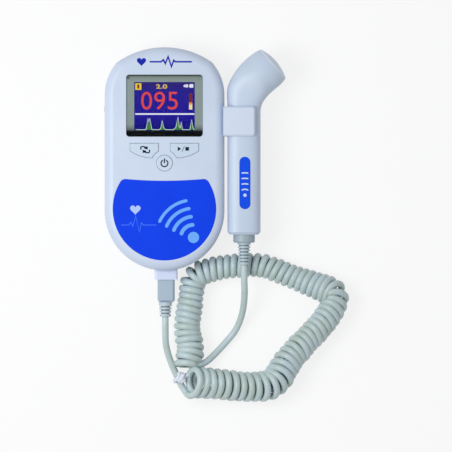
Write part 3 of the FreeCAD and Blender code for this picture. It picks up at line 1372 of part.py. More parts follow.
def probe_tail():
    body = new_body("probe_collar")
    bevel = "probe_bevel / 2"
    revolve(body, "ring", (
        ("0", "neck_length"), ("0", "-collar_length"), (f"collar_radius - {bevel}", "-collar_length"),
        ("collar_radius", f"-collar_length + {bevel}"), ("collar_radius", "0"), ("neck_radius", "0"),
        ("neck_radius", "neck_length")))
    place(body, "probe_x", "probe_tail", "probe_z")
    relief("probe_strain_relief", ("probe_x", "probe_z"), "probe_tail - collar_length",
           ("relief_wide", "relief_narrow"), "relief_length", ("fine_pitch", "fine_width", "fine_depth"), 6)


# The cord ---------------------------------------------------------------------------------

ARC_SHARE = 0.45  # share of the shorter run that each arc takes up

# The routes' points, chosen by hand: the straight leads, then the curly stretch as one tube.
LEAD_EXIT = 8.0  # each lead leaves its strain relief straight for this length
PLUG_LEAD = (
    (0.5, -112.4, 12.4), (2.9, -121.4, 9.0), (6.5, -129.3, 7.4),
    (10.0, -136.8, 7.4), (13.2, -141.0, 8.0), (18.0, -142.0, 8.4),
)
PROBE_LEAD = (
    (48.6, -82.8, 15.2), (47.2, -94.0, 8.0), (43.4, -103.8, 3.8), (37.4, -110.9, 2.9),
    (31.2, -117.4, 4.4), (25.6, -122.5, 7.0), (20.6, -124.6, 8.0), (15.8, -124.3, 8.2), (12.6, -121.0, 8.2),
)
COIL = (
    (14.6, -135.9), (22.3, -135.2), (36.9, -136.8), (52.0, -137.4), (67.1, -135.0), (79.2, -124.9),
    (89.5, -113.8), (99.6, -101.5), (104.8, -91.6), (104.0, -81.8), (96.4, -75.9), (82.6, -72.4),
    (70.6, -67.0), (59.4, -64.6), (47.7, -65.3), (36.9, -65.0), (27.2, -68.0), (19.4, -71.8),
    (16.2, -79.6), (14.4, -91.4), (12.8, -103.5), (13.6, -114.6), (14.4, -121.8),
)
TIE_PLACE = (10.3, -132.25, 7.6)
TIE_TURN = 24.0  # degrees from -Y to +X that the tied cords run


def tube(name, points, radius):
    """A tube along straight runs through the points, joined by the largest tangent arcs."""
    runs = [(b - a).Length for a, b in zip(points, points[1:])]
    edges, here, bends = [], points[0], []
    for i in range(1, len(points) - 1):
        back = (points[i - 1] - points[i]).normalize()
        onward = (points[i + 1] - points[i]).normalize()
        half_turn = (math.pi - back.getAngle(onward)) / 2
        reach = ARC_SHARE * min(runs[i - 1], runs[i])
        bend = reach / math.tan(half_turn)
        bends.append(round(bend, 1))
        inward = (back + onward).normalize()
        middle = points[i] + inward * (bend / math.cos(half_turn) - bend)
        start, end = points[i] + back * reach, points[i] + onward * reach
        edges.append(Part.LineSegment(here, start).toShape())
        edges.append(Part.Arc(start, middle, end).toShape())
        here = end
    edges.append(Part.LineSegment(here, points[-1]).toShape())
    path = Part.Wire(edges)
    section = Part.Wire([Part.makeCircle(radius, points[0], points[1] - points[0])])
    solid = doc.addObject("Part::Feature", name)
    solid.Shape = path.makePipeShell([section], True, True)
    expected = math.pi * radius**2 * path.Length
    share = solid.Shape.Volume / expected
    print(f"{name}: length {path.Length:.1f}, radii {bends}, volume {share:.4f} of section times length")
    return keep(name, solid)


def cord():
    radius, coil_radius = value("cord_width") / 2, value("coil_width") / 2
    straight = VEC(0, -LEAD_EXIT, 0)
    plug_end = VEC(value("socket_x - sleeve_offset"), value(SLEEVE_LOW), value("socket_z"))
    tube("plug_lead", [plug_end, plug_end + straight] + [VEC(*point) for point in PLUG_LEAD], radius)
    probe_end = VEC(value("probe_x"), value("probe_tail - collar_length - relief_length"), value("probe_z"))
    tube("probe_lead", [probe_end, probe_end + straight] + [VEC(*point) for point in PROBE_LEAD], radius)
    middle_z = coil_radius + value("coil_lift")
    tube("coil_cord", [VEC(x, y, middle_z) for x, y in COIL], coil_radius)


def cable_tie():
    """A band round two cords side by side, with its head and the stub of its tail."""
    tie = new_body("cable_tie")
    half_width, half_tall = "cord_width + tie_gap", "cord_width / 2 + tie_gap"
    across, upright = (f"-({half_width})", half_width), (f"-({half_tall})", half_tall)
    outer_across = (f"-({half_width} + tie_band)", f"{half_width} + tie_band")
    outer_upright = (f"-({half_tall} + tie_band)", f"{half_tall} + tie_band")
    band = centred("tie_width")
    pad(tie, "band", lambda d: d.rounded(outer_across, outer_upright, half_tall), *band)
    tall = (half_tall, f"{half_tall} + tie_head_tall")
    pad(tie, "head", rectangle(centred("tie_head"), tall), *centred("tie_head"))
    tail = ("0", "tie_head / 2 + tie_tail")
    pad(tie, "tail", rectangle(tail, (half_tall, f"{half_tall} + 2 * tie_band")), *band)
    pocket(tie, "inside", lambda d: d.rounded(across, upright, "cord_width / 2"), "-tie_head", "tie_head")
    turn = FreeCAD.Rotation(UP, TIE_TURN) * FreeCAD.Rotation(EAST, 90)
    tie.Placement = FreeCAD.Placement(VEC(*TIE_PLACE), turn)


def main():
    front_shell()
    rear_shell()
    display()
    keys()
    switches()
    front_label()
    main_board()
    board_chips()
    case_screws()
    battery_cover()
    batteries()
    battery_contacts()
    battery_springs()
    speaker()
    volume_control()
    headphone_jack()
    probe_socket()
    plug()
    probe_clip()
    clip_screws()
    probe_shells()
    probe_face()
    probe_insides()
    probe_tail()
    cord()
    cable_tie()
    finish()


def finish():
    """Checks every object and sub-part, then writes one file for each sub-part."""
    doc.recompute()
    for thing in doc.Objects:
        if "Invalid" in thing.State or "Error" in thing.State:
            raise RuntimeError(f"{thing.Label} failed: {thing.State}")
    for name, thing in parts.items():
        if thing.Shape.isNull() or not thing.Shape.isValid():
            raise RuntimeError(f"{name} has no valid shape")
    os.makedirs("parts", exist_ok=True)
    for name, thing in parts.items():
        thing.Shape.exportStep(f"parts/{name}.step")
        print(name, len(thing.Shape.Solids), "solids", round(thing.Shape.Volume, 1), "mm3")


main()
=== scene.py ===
"""Finishes, cords, prints and studio of a pocket fetal doppler, dressed on its CAD frame.

Lengths are in millimetres, and angles in degrees, unless a line says otherwise.
"""

import logging
import math
import random
from dataclasses import dataclass
from enum import Enum
from typing import Any, Callable, Dict, List, Optional, Sequence, Tuple, Union

import bmesh
import bpy
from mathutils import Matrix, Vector


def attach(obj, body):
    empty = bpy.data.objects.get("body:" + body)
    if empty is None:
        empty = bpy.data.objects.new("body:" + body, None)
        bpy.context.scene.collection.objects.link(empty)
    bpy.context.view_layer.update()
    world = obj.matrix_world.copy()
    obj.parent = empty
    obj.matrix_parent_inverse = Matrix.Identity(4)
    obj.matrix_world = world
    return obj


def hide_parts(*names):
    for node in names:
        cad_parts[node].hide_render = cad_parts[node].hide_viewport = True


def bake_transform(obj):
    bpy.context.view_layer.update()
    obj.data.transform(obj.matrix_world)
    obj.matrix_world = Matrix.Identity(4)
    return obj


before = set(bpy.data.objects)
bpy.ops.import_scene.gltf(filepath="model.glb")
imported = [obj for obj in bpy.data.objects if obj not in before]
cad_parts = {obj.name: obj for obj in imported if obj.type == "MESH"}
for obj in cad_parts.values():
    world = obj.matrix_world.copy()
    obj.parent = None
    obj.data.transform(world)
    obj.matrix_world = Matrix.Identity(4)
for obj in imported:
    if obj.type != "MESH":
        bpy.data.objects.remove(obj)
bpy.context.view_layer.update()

MM = 0.001
LOG = logging.getLogger("doppler")

Point = Tuple[float, float]
Point3 = Tuple[float, float, float]
Socket = bpy.types.NodeSocket
Tree = bpy.types.NodeTree
Piece = bpy.types.Object
Shape = bmesh.types.BMesh


class Body(Enum):
    """The bodies of the frame that new pieces ride on."""

    UNIT = "main_unit"
    POWER = "power_button"
    MODE = "mode_button"
    START = "start_stop_button"
    PROBE = "probe"
    PLUG = "probe_plug"


class Slot(Enum):
    """Names of the material slots that new pieces are handed with; nothing reads them."""

    SCREEN = "screen"
    KEY = "key_white"
    LABEL = "label_blue"
    BADGE = "badge_blue"
    CASE = "case_white"
    CORD = "cord_grey"


# ---------------- colours and nodes


def linear(colour: str) -> Tuple[float, float, float, float]:
    """Turns an sRGB hex colour to linear light.

    Args:
        colour: six hex digits, such as "cbd8ea".

    Returns:
        Red, green, blue and alpha, each from 0 to 1.
    """
    parts = [int(colour[i : i + 2], 16) / 255 for i in (0, 2, 4)]
    red, green, blue = (c / 12.92 if c <= 0.04045 else ((c + 0.055) / 1.055) ** 2.4 for c in parts)
    return (red, green, blue, 1.0)


def add(
    tree: Tree,
    kind: str,
    inputs: Optional[Dict[Union[str, int], Any]] = None,
    stops: Sequence[Tuple[float, str]] = (),
    **settings: Any,
) -> bpy.types.Node:
    """Adds a node with its settings and links.

    Args:
        tree: the node tree it goes into.
        kind: the node's type, such as "ShaderNodeBump".
        inputs: each input's name or number, with a value or the socket that feeds it.
        stops: a colour ramp's places from 0 to 1, each with its sRGB hex colour.
        settings: the node's own properties.

    Returns:
        The new node.
    """
    made = tree.nodes.new(kind)
    for key, setting in settings.items():
        setattr(made, key, setting)
    for key, given in (inputs or {}).items():
        if isinstance(given, Socket):
            tree.links.new(given, made.inputs[key])
        else:
            made.inputs[key].default_value = given
    for number, (place, colour) in enumerate(stops):
        if number == len(made.color_ramp.elements):
            made.color_ramp.elements.new(1.0)
        made.color_ramp.elements[number].color = linear(colour)
        made.color_ramp.elements[number].position = place
    return made


def fresh(owner: Union[bpy.types.Material, bpy.types.World]) -> Tree:
    """Empties a node tree.

    Args:
        owner: the material or world that it belongs to.

    Returns:
        The tree.
    """
    owner.use_nodes = True
    owner.node_tree.nodes.clear()
    return owner.node_tree


def along(tree: Tree, coords: Socket, low: float, high: float) -> Socket:
    """How far a point lies between two places along Y.

    Args:
        tree: the node tree.
        coords: object coordinates, in metres.
        low: where the result is 0.
        high: where the result is 1.

    Returns:
        The share from 0 to 1.
    """
    split = add(tree, "ShaderNodeSeparateXYZ", {"Vector": coords})
    reach = {"Value": split.outputs["Y"], "From Min": low * MM, "From Max": high * MM}
    return add(tree, "ShaderNodeMapRange", reach).outputs["Result"]


# ---------------- finishes

# How far the roughness strays from its middle with the relief.
ROUGHNESS_SPREAD = 0.05
# Scale of a wave texture whose bands are one metre apart.
WAVE_SCALE = 0.314


@dataclass(frozen=True)
class Finish:
    """A plastic or metal surface with fine relief and a broad drift of its colour.

    Attributes:
        name: what the material is and how its surface was made.
        tint: its sRGB hex colour.
        drift: the sRGB hex colour that broad patches lean to.
        roughness: middle roughness.
        metallic: 1 for bare metal.
        ior: index of refraction, for what isn't metal.
        grain: spacing of the fine relief, coarser than the real one where that is too fine to show.
        relief: depth of that relief.
        patch: size of the broad patches.
        gloss: specular level, where 0.5 is a bare surface and less is a skin seen from straight above.
    """

    name: str
    tint: str
    drift: str
    roughness: float = 0.42
    metallic: float = 0.0
    ior: float = 1.5
    grain: float = 0.7
    relief: float = 0.012
    patch: float = 30.0
    gloss: float = 0.5

    def colour(self, tree: Tree, coords: Socket) -> Socket:
        """The surface's colour, which drifts in broad patches."""
        share = {"Fac": self.noise(tree, coords, self.patch)}
        return add(tree, "ShaderNodeValToRGB", share, [(0.3, self.tint), (0.7, self.drift)]).outputs["Color"]

    def height(self, tree: Tree, coords: Socket) -> Socket:
        """The fine relief, from 0 to 1."""
        return self.noise(tree, coords, self.grain)

    def noise(self, tree: Tree, coords: Socket, size: float) -> Socket:
        """Smooth noise whose lumps are about so many millimetres across."""
        inputs = {"Vector": coords, "Scale": 1.0 / (size * MM), "Detail": 2.0}
        return add(tree, "ShaderNodeTexNoise", inputs).outputs["Fac"]

    def extra(self, tree: Tree, shader: bpy.types.Node, coords: Socket) -> None:
        """What a particular finish adds to the shader."""

    def material(self) -> bpy.types.Material:
        """The finish as a material, made once.

        Returns:
            The material that carries this finish's name.
        """
        known = bpy.data.materials.get(self.name)
        if known:
            return known
        made = bpy.data.materials.new(self.name)
        tree = fresh(made)
        coords = add(tree, "ShaderNodeTexCoord").outputs["Object"]
        height = self.height(tree, coords)
        bump = {"Height": height, "Distance": self.relief * MM, "Strength": 1.0}
        low, high = self.roughness - ROUGHNESS_SPREAD, self.roughness + ROUGHNESS_SPREAD
        rough = {"Value": height, "To Min": low, "To Max": high}
        inputs = {
            "Base Color": self.colour(tree, coords),
            "Roughness": add(tree, "ShaderNodeMapRange", rough).outputs["Result"],
            "Normal": add(tree, "ShaderNodeBump", bump).outputs["Normal"],
            "Metallic": self.metallic,
            "IOR": self.ior,
            "Specular IOR Level": self.gloss,
        }
        shader = add(tree, "ShaderNodeBsdfPrincipled", inputs)
        add(tree, "ShaderNodeOutputMaterial", {"Surface": shader.outputs["BSDF"]})
        self.extra(tree, shader, coords)
        return made


@dataclass(frozen=True)
class Ink(Finish):
    """Printed ink, or sheet printed on its underside: smooth, with hardly any relief of its own."""

    roughness: float = 0.3
    grain: float = 0.25
    relief: float = 0.001
    gloss: float = 0.05


@dataclass(frozen=True)
class ClearAcrylic(Finish):
    """Cast acrylic sheet, faintly smoked: it dims what lies behind it a little, under a sharp gloss.

    Attributes:
        cover: how much of what lies behind it hides.
    """

    cover: float = 0.1

    def extra(self, tree: Tree, shader: bpy.types.Node, coords: Socket) -> None:
        """Lets what lies behind show through."""
        shader.inputs["Alpha"].default_value = self.cover


@dataclass(frozen=True)
class FramePrintWithPaintedShade(Finish):
    """Screen-printed ink under the window: grey-green, with painted shade: a soft black band at its lower
    edge and a dark line at its upper edge, where the window's recess would shade it.

    Attributes:
        low: lower edge of the print.
        high: upper edge of the print.
    """

    low: float = 13.4
    high: float = 50.8

    def colour(self, tree: Tree, coords: Socket) -> Socket:
        """Painted shade: black at the lower edge, then the tint, and a painted shadow line at the upper edge.

        Args:
            tree: the material's node tree.
            coords: object coordinates, in metres.

        Returns:
            The surface's colour.
        """
        share = {"Fac": along(tree, coords, self.low, self.high)}
        # Painted shade: the near-black stops at the foot and the dark stops at the top stand in for the
        # recess's shadow.
        stops = [
            (0.0, "1c2428"),
            (0.025, "05090c"),
            (0.085, "080d10"),
            (0.13, "7e8c8c"),
            (0.2, self.tint),
            (0.9, self.tint),
            (0.965, self.drift),
            (0.985, "4a5550"),
        ]
        return add(tree, "ShaderNodeValToRGB", share, stops).outputs["Color"]


@dataclass(frozen=True)
class LitScreen(Finish):
    """Colour liquid crystal panel: its own light, deep blue that fades to black at the foot.

    Attributes:
        low: lower edge of the panel.
        high: upper edge of the panel.
        glow: strength of its light, where 1 shows the colour as written.
    """

    low: float = 15.6
    high: float = 47.6
    glow: float = 1.06

    def extra(self, tree: Tree, shader: bpy.types.Node, coords: Socket) -> None:
        """Lights the panel with its own picture.

        Args:
            tree: the material's node tree.
            shader: the node that is added to.
            coords: object coordinates, in metres.
        """
        share = {"Fac": along(tree, coords, self.low, self.high)}
        stops = [(0.035, "020206"), (0.07, "08067a"), (0.3, "1d149a"), (0.75, "241a94"), (0.97, "2e2274")]
        picture = add(tree, "ShaderNodeValToRGB", share, stops).outputs["Color"]
        tree.links.new(picture, shader.inputs["Emission Color"])
        shader.inputs["Emission Strength"].default_value = self.glow


@dataclass(frozen=True)
class GlowingDots(Finish):
    """Lit dots of the panel: one colour with the faint rows that the dots make.

    Attributes:
        glow: strength of the light, where 1 shows the colour as written.
        pitch: spacing of the rows, coarser than the real 0.1 so that it shows.
    """

    glow: float = 1.1
    pitch: float = 0.5
    gloss: float = 0.1

    def colour(self, tree: Tree, coords: Socket) -> Socket:
        """Nearly black where the dots give no light."""
        share = {"Fac": self.noise(tree, coords, self.patch)}
        return add(tree, "ShaderNodeValToRGB", share, [(0.3, "08070c"), (0.7, "0b090f")]).outputs["Color"]

    def extra(self, tree: Tree, shader: bpy.types.Node, coords: Socket) -> None:
        """Lights the dots in rows.

        Args:
            tree: the material's node tree.
            shader: the node that is added to.
            coords: object coordinates, in metres.
        """
        rows = {"Vector": coords, "Scale": WAVE_SCALE / (self.pitch * MM), "Distortion": 0.0}
        wave = {"Fac": add(tree, "ShaderNodeTexWave", rows, bands_direction="Y").outputs["Fac"]}
        light = add(tree, "ShaderNodeValToRGB", wave, [(0.1, self.drift), (0.5, self.tint)])
        tree.links.new(light.outputs["Color"], shader.inputs["Emission Color"])
        shader.inputs["Emission Strength"].default_value = self.glow


@dataclass(frozen=True)
class CellSleeve(Finish):
    """Shrunk plastic sleeve of a dry cell: dark, with a gold band at the end of its button.

    Attributes:
        low: where the dark part ends.
        high: where the gold band starts.
    """

    tint: str = "20242c"
    drift: str = "b98a3c"
    roughness: float = 0.25
    metallic: float = 0.6
    grain: float = 0.3
    relief: float = 0.002
    low: float = 40.0
    high: float = 41.0

    def colour(self, tree: Tree, coords: Socket) -> Socket:
        """Dark at the flat end, gold at the button."""
        share = {"Fac": along(tree, coords, self.low, self.high)}
        return add(tree, "ShaderNodeValToRGB", share, [(0.3, self.tint), (0.7, self.drift)]).outputs["Color"]


@dataclass(frozen=True)
class GroovedSleeve(Finish):
    """Overmoulded satin sleeve, with painted shade that darkens its grooves where the light doesn't reach
    them.

    Attributes:
        low: where the sleeve's thin end lies along Y.
        pitch: spacing of its grooves.
        count: how many grooves it has.
        groove_shade: the sRGB hex colour of the painted shade in its grooves.
    """

    tint: str = "bdcfda"
    drift: str = "b5c8d2"
    roughness: float = 0.46
    grain: float = 0.5
    relief: float = 0.01
    low: float = -95.5
    pitch: float = 2.0
    count: int = 3
    groove_shade: str = "82949b"

    def colour(self, tree: Tree, coords: Socket) -> Socket:
        """Painted shade at each of the grooves, and the tint between them.

        Args:
            tree: the material's node tree.
            coords: object coordinates, in metres.

        Returns:
            The surface's colour.
        """
        first = self.low + self.pitch / 2
        share = along(tree, coords, first, first + self.pitch * self.count)
        grooves = add(tree, "ShaderNodeMath", {0: share, 1: float(self.count)}, operation="MULTIPLY")
        part = add(tree, "ShaderNodeMath", {0: grooves.outputs["Value"]}, operation="FRACT")
        # Painted shade: the grooves take a darker colour where the light doesn't reach them.
        groove_shade = [(0.30, self.groove_shade), (0.70, self.groove_shade)]
        stops = [(0.0, self.drift), (0.22, self.tint), *groove_shade, (0.78, self.tint)]
        return add(tree, "ShaderNodeValToRGB", {"Fac": part.outputs["Value"]}, stops).outputs["Color"]


@dataclass(frozen=True)
class EtchedBoard(Finish):
    """Glass-epoxy circuit board under solder resist: green, with paler tracks in both directions.

    Attributes:
        cell: size of the cells that the tracks run round in.
        lanes: how many tracks cross half a cell.
    """

    cell: float = 6.4
    lanes: float = 6.0

    def colour(self, tree: Tree, coords: Socket) -> Socket:
        """Tracks over the green resist.

        Args:
            tree: the material's node tree.
            coords: object coordinates, in metres.

        Returns:
            The surface's colour.
        """
        inputs = {"Vector": coords, "Scale": 1.0 / (self.cell * MM), "Randomness": 0.6}
        cells = add(tree, "ShaderNodeTexVoronoi", inputs, distance="CHEBYCHEV", feature="F1")
        reach = {"Value": cells.outputs["Distance"], "To Max": self.lanes}
        lane = add(tree, "ShaderNodeMapRange", reach).outputs["Result"]
        wave = {"Fac": add(tree, "ShaderNodeMath", {0: lane}, operation="FRACT").outputs["Value"]}
        return add(tree, "ShaderNodeValToRGB", wave, [(0.72, self.tint), (0.78, self.drift)]).outputs["Color"]


@dataclass(frozen=True)
class PressedPaper(Finish):
    """Pressed paper cone: matt black with the rings of its mould.

    Attributes:
        ring: spacing of the rings.
        middle_y: the cone's middle.
    """

    ring: float = 1.5
    middle_y: float = -31.3

    def height(self, tree: Tree, coords: Socket) -> Socket:
        """Rings round the cone's middle.

        Args:
            tree: the material's node tree.
            coords: object coordinates, in metres.

        Returns:
            The relief, from 0 to 1.
        """
        shift = (0.0, -self.middle_y * MM, 0.0)
        moved = add(tree, "ShaderNodeMapping", {"Vector": coords, "Location": shift})
        rings = {"Vector": moved.outputs["Vector"], "Scale": WAVE_SCALE / (self.ring * MM)}
        return add(tree, "ShaderNodeTexWave", rings, wave_type="RINGS", rings_direction="Z").outputs["Fac"]


# Extruded soft PVC: grey with a green cast, satin, slightly uneven from the die.
CORD_PVC = Finish("pvc_cord_extruded", "c0d2d9", "b6c7c2", roughness=0.36, grain=1.4, relief=0.02, patch=11.0)
# Extruded nylon strip: nearly white, with the sheen of a polished die.
TIE_NYLON = Finish("nylon_tie_extruded", "e2e8f2", "d2daea", roughness=0.4, ior=1.53, grain=0.5, relief=0.01,
                   patch=3.0)
# Lit dots of the panel: each colour, and the same colour between two rows.
DOTS: Dict[str, GlowingDots] = {
    colour: GlowingDots(f"lcd_dots_{colour}", lit, dim)
    for colour, lit, dim in (
        ("red", "ef4a3c", "c83a3c"),
        ("yellow", "f2d63c", "dcb832"),
        ("amber", "f0a23c", "e08c34"),
        ("white", "f4f4ff", "dcdcf6"),
        ("maroon", "7a2430", "6a1c2c"),
        ("cream", "f6ecb4", "ecd898"),
        ("green", "3c8a3c", "2c6e30"),
        ("pale_green", "dcf4d8", "c0e4c4"),
        ("dark", "8a2c1c", "7a2418"),
    )
}
# Screen-printed inks on the blue sheet and the badge: flat, even, with a thin gloss.
SKY_INK = Ink("ink_sky_blue_screen_printed", "73b4ff", "6cacfa")
PALE_INK = Ink("ink_pale_blue_screen_printed", "b4cdfb", "a8c2f6")
FAINT_INK = Ink("ink_faint_blue_screen_printed", "4a7cf8", "4474f4")
WHITE_INK = Ink("ink_white_screen_printed", "cfe0fa", "c2d6f6", roughness=0.4)
# Pad-printed inks: thin dark skins that barely stand off the plastic.
NAVY_INK = Ink("ink_navy_pad_printed", "141c3c", "1a2244", roughness=0.45, grain=0.2)
ROYAL_INK = Ink("ink_royal_blue_pad_printed", "1c2fae", "1a2ba4", roughness=0.45, grain=0.2)

# The CAD nodes, and what each group is made of.
DRESSED: Dict[str, Finish] = {
    # Injection-moulded ABS with a fine spark-eroded texture: pale blue-white, soft gloss.
    "front_shell rear_shell battery_cover":
        Finish("abs_case_spark_textured", "cad6ea", "c4d2e8", roughness=0.43, grain=0.55, relief=0.006),
    # The same plastic, polished a little more where fingers press.
    "power_button mode_button start_stop_button":
        Finish("abs_key_moulded", "c8d8ea", "c2d4e8", roughness=0.33, grain=0.4, relief=0.004),
    # Probe shells, from the same granulate in another mould.
    "probe_shell_front probe_shell_rear":
        Finish("abs_probe_moulded", "c6d4e8", "bfcfe4", roughness=0.43, grain=0.6, relief=0.006),
    # Socket block and clip: the case's plastic with a lilac cast. The socket's tint is also brightened as
    # painted light, to make up for the shade that the case casts on it.
    "probe_socket":
        Finish("abs_socket_moulded", "d3def6", "cdd8f2", roughness=0.38, grain=0.5, relief=0.006),
    "probe_clip":
        Finish("abs_clip_moulded", "d2def2", "ccd9ee", roughness=0.35, grain=0.5, relief=0.006),
    # Cast acrylic window with a trace of smoke, so that the screen looks deep behind it.
    "display_window":
        ClearAcrylic("acrylic_window_cast", "0a0e11", "0c1013", roughness=0.09, ior=1.49, relief=0.0),
    # Ink printed under the window: dull, with painted shade that darkens it at its lower and upper edges.
    "window_mask":
        FramePrintWithPaintedShade("ink_frame_printed_painted_shade", "a1b1af", "909f99", roughness=0.5, grain=0.3, relief=0.002,
                   gloss=0.02),
    # The panel's glass: black where it gives no light.
    "display_panel":
        LitScreen("lcd_panel_lit", "030206", "040308", roughness=0.3, relief=0.0, gloss=0.01),
    # Polyester sheets printed on their underside: deep even blue with a wet gloss.
    "front_label": Ink("polyester_sheet_printed_blue", "0f45f0", "1140e6", ior=1.57, patch=18.0),
    "probe_badge": Ink("polyester_badge_printed_blue", "1750ee", "1a51e6"),
    # Overmoulded soft PVC of the plug, its sleeve and the probe's tail: matt, and greyer than the cord.
    "plug_body": Finish("pvc_plug_overmoulded", "a9bccc", "a2b5c6", roughness=0.48, grain=0.5, relief=0.01),
    # Both sleeves carry painted shade in their grooves.
    "plug_strain_relief": GroovedSleeve("pvc_sleeve_overmoulded"),
    "probe_strain_relief":
        GroovedSleeve("pvc_probe_sleeve_overmoulded", low=-64.1, pitch=1.95, count=6),
    "probe_collar":
        Finish("pvc_collar_overmoulded", "a6b6c0", "9cacb4", roughness=0.46, grain=0.5, relief=0.01),
    # Epoxy face over the crystals, cast and polished.
    "probe_face": Finish("epoxy_face_cast", "d2dfef", "ccdaea", roughness=0.4, grain=1.0, relief=0.004),
    # Grey ABS of the wheel, worn matt by the thumb.
    "volume_wheel": Finish("abs_wheel_moulded", "98a2ae", "8e98a6", roughness=0.5, grain=0.4, relief=0.01),
    # Black nylon of bought-in parts: dull, with a fine texture.
    "display_frame power_switch mode_switch start_stop_switch headphone_jack volume_pot":
        Finish("nylon_black_moulded", "1c1c1f", "17171a", roughness=0.5, grain=0.3, relief=0.008),
    # Filled epoxy of the chips: black with a sandy grain.
    "board_chips": Finish("epoxy_chip_moulded", "1a1a1c", "222226", roughness=0.6, grain=0.15, relief=0.006),
    # Milky acrylic that spreads the lamps' light.
    "backlight":
        Finish("acrylic_diffuser_moulded", "e4e8ea", "dde2e6", roughness=0.5, grain=0.4, relief=0.004),
    # Circuit boards: glossy green resist over paler copper.
    "main_board probe_board":
        EtchedBoard("board_glass_epoxy_etched", "1c5a34", "3a8450", roughness=0.4, grain=0.4, relief=0.01),
    # Zinc-plated steel: bluish, half bright.
    "case_screws clip_screws plug_contacts":
        Finish("steel_screw_zinc_plated", "b9bdc4", "a8adb6", roughness=0.32, metallic=1.0, grain=0.3,
               relief=0.006),
    # Nickel-plated steel: warmer and brighter.
    "battery_springs battery_contacts":
        Finish("steel_spring_nickel_plated", "c4c4bf", "b2b2ac", roughness=0.28, metallic=1.0, grain=0.25,
               relief=0.004),
    # Black stoving paint on the speaker's basket.
    "speaker_frame":
        Finish("steel_basket_painted_black", "232326", "1c1c20", roughness=0.45, grain=0.5, relief=0.01),
    # Pressed paper: matt black, with the mould's rings.
    "speaker_cone": PressedPaper("paper_cone_pressed", "1e1e1f", "252526", roughness=0.85, relief=0.15),
    # Sintered ceramic: dull cream.
    "piezo_crystals":
        Finish("ceramic_crystal_sintered", "c9c0a4", "bdb498", roughness=0.6, grain=0.2, relief=0.01),
    # Cast rubber that damps the crystals: dark and dull.
    "crystal_backing":
        Finish("rubber_backing_cast", "2c2c30", "242428", roughness=0.8, grain=0.5, relief=0.02),
    # Shrunk polyester sleeves. The right cell lies the other way round.
    "battery_left": CellSleeve("polyester_cell_sleeve_shrunk"),
    "battery_right": CellSleeve("polyester_cell_sleeve_shrunk_turned", low=27.7, high=26.7),
}


def dress_frame() -> None:
    """Gives every CAD node its finish."""
    for nodes, finish in DRESSED.items():
        for name in nodes.split():
            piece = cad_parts[name]
            for slot in piece.material_slots:
                slot.material = finish.material()
            LOG.info("dressed %s in %s", name, finish.name)


# ---------------- drawing


# How far the corner of a pen's line may stick out, in halves of its width.
MITRE_LIMIT = 2.6


def arc(centre: Point, radius: float, start: float, end: float, count: int) -> List[Point]:
    """Points along an arc.

    Args:
        centre: its middle.
        radius: its radius.
        start: first angle, from +X.
        end: last angle.
        count: how many steps.

    Returns:
        The points, both ends among them.
    """
    angles = (math.radians(start + (end - start) * i / count) for i in range(count + 1))
    return [(centre[0] + radius * math.cos(a), centre[1] + radius * math.sin(a)) for a in angles]


def disc(centre: Point, radius: float, count: int = 32) -> List[Point]:
    """The outline of a disc."""
    return arc(centre, radius, 0.0, 360.0, count)[:-1]


def block(left: float, right: float, low: float, high: float) -> List[Point]:
    """The outline of a rectangle."""
    return [(left, low), (right, low), (right, high), (left, high)]


def stroke(line: Sequence[Point], width: float, cap: int = 8) -> List[Point]:
    """The outline of a line drawn with a round pen.

    Args:
        line: the points that the pen goes through.
        width: the pen's width.
        cap: steps of each round end.

    Returns:
        The outline, anticlockwise.
    """
    half = width / 2
    marks = [Vector(p) for p in line]
    ways = [(b - a).normalized() for a, b in zip(marks, marks[1:])]
    left, right = [], []
    for i, mark in enumerate(marks):
        before, after = ways[max(i - 1, 0)], ways[min(i, len(ways) - 1)]
        normal = Vector((-(before + after).y, (before + after).x)).normalized()
        reach = min(1 / max(normal.dot(Vector((-after.y, after.x))), 1e-3), MITRE_LIMIT) * half
        left.append(tuple(mark + normal * reach))
        right.append(tuple(mark - normal * reach))
    first = math.degrees(math.atan2(ways[0].y, ways[0].x))
    last = math.degrees(math.atan2(ways[-1].y, ways[-1].x))
    start_cap = arc(tuple(marks[0]), half, first + 90, first + 270, cap)[1:-1]
    end_cap = arc(tuple(marks[-1]), half, last - 90, last + 90, cap)[1:-1]
    return right + end_cap + left[::-1] + start_cap


def placed(points: Sequence[Point], at: Point, sign: int = 1) -> List[Point]:
    """The points as seen from there, and turned half round if the sign is -1."""
    return [(at[0] + sign * x, at[1] + sign * y) for x, y in points]


def heart(centre: Point, size: float, count: int = 40) -> List[Point]:
    """The outline of a heart: 16 sin^3 t across, and a sum of four cosines upwards.

    Args:
        centre: its middle.
        size: its width.
        count: how many points it has.

    Returns:
        The outline.
    """
    points = []
    for turn in (2 * math.pi * i / count for i in range(count)):
        tall = sum(share * math.cos((i + 1) * turn) for i, share in enumerate((13, -5, -2, -1)))
        points.append((centre[0] + size / 2 * math.sin(turn) ** 3, centre[1] + size / 32 * tall))
    return points


def adopt(piece: Piece, body: Body, finish: Finish, slot: Slot) -> Piece:
    """Dresses a new piece and lets it ride.

    Args:
        piece: the new object, already in its place.
        body: the body that carries it.
        finish: its finish.
        slot: a material slot's name; not used.

    Returns:
        The piece.
    """
    piece.data.materials.clear()
    piece.data.materials.append(finish.material())
    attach(piece, body.value)
    LOG.info("made %s on %s", piece.name, body.value)
    return piece


def new_piece(name: str, data: bpy.types.ID) -> Piece:
    """Puts an object into the scene.

    Args:
        name: its name.
        data: its mesh, curve, camera or lamp.

    Returns:
        The new object.
    """
    piece = bpy.data.objects.new(name, data)
    bpy.context.scene.collection.objects.link(piece)
    return piece


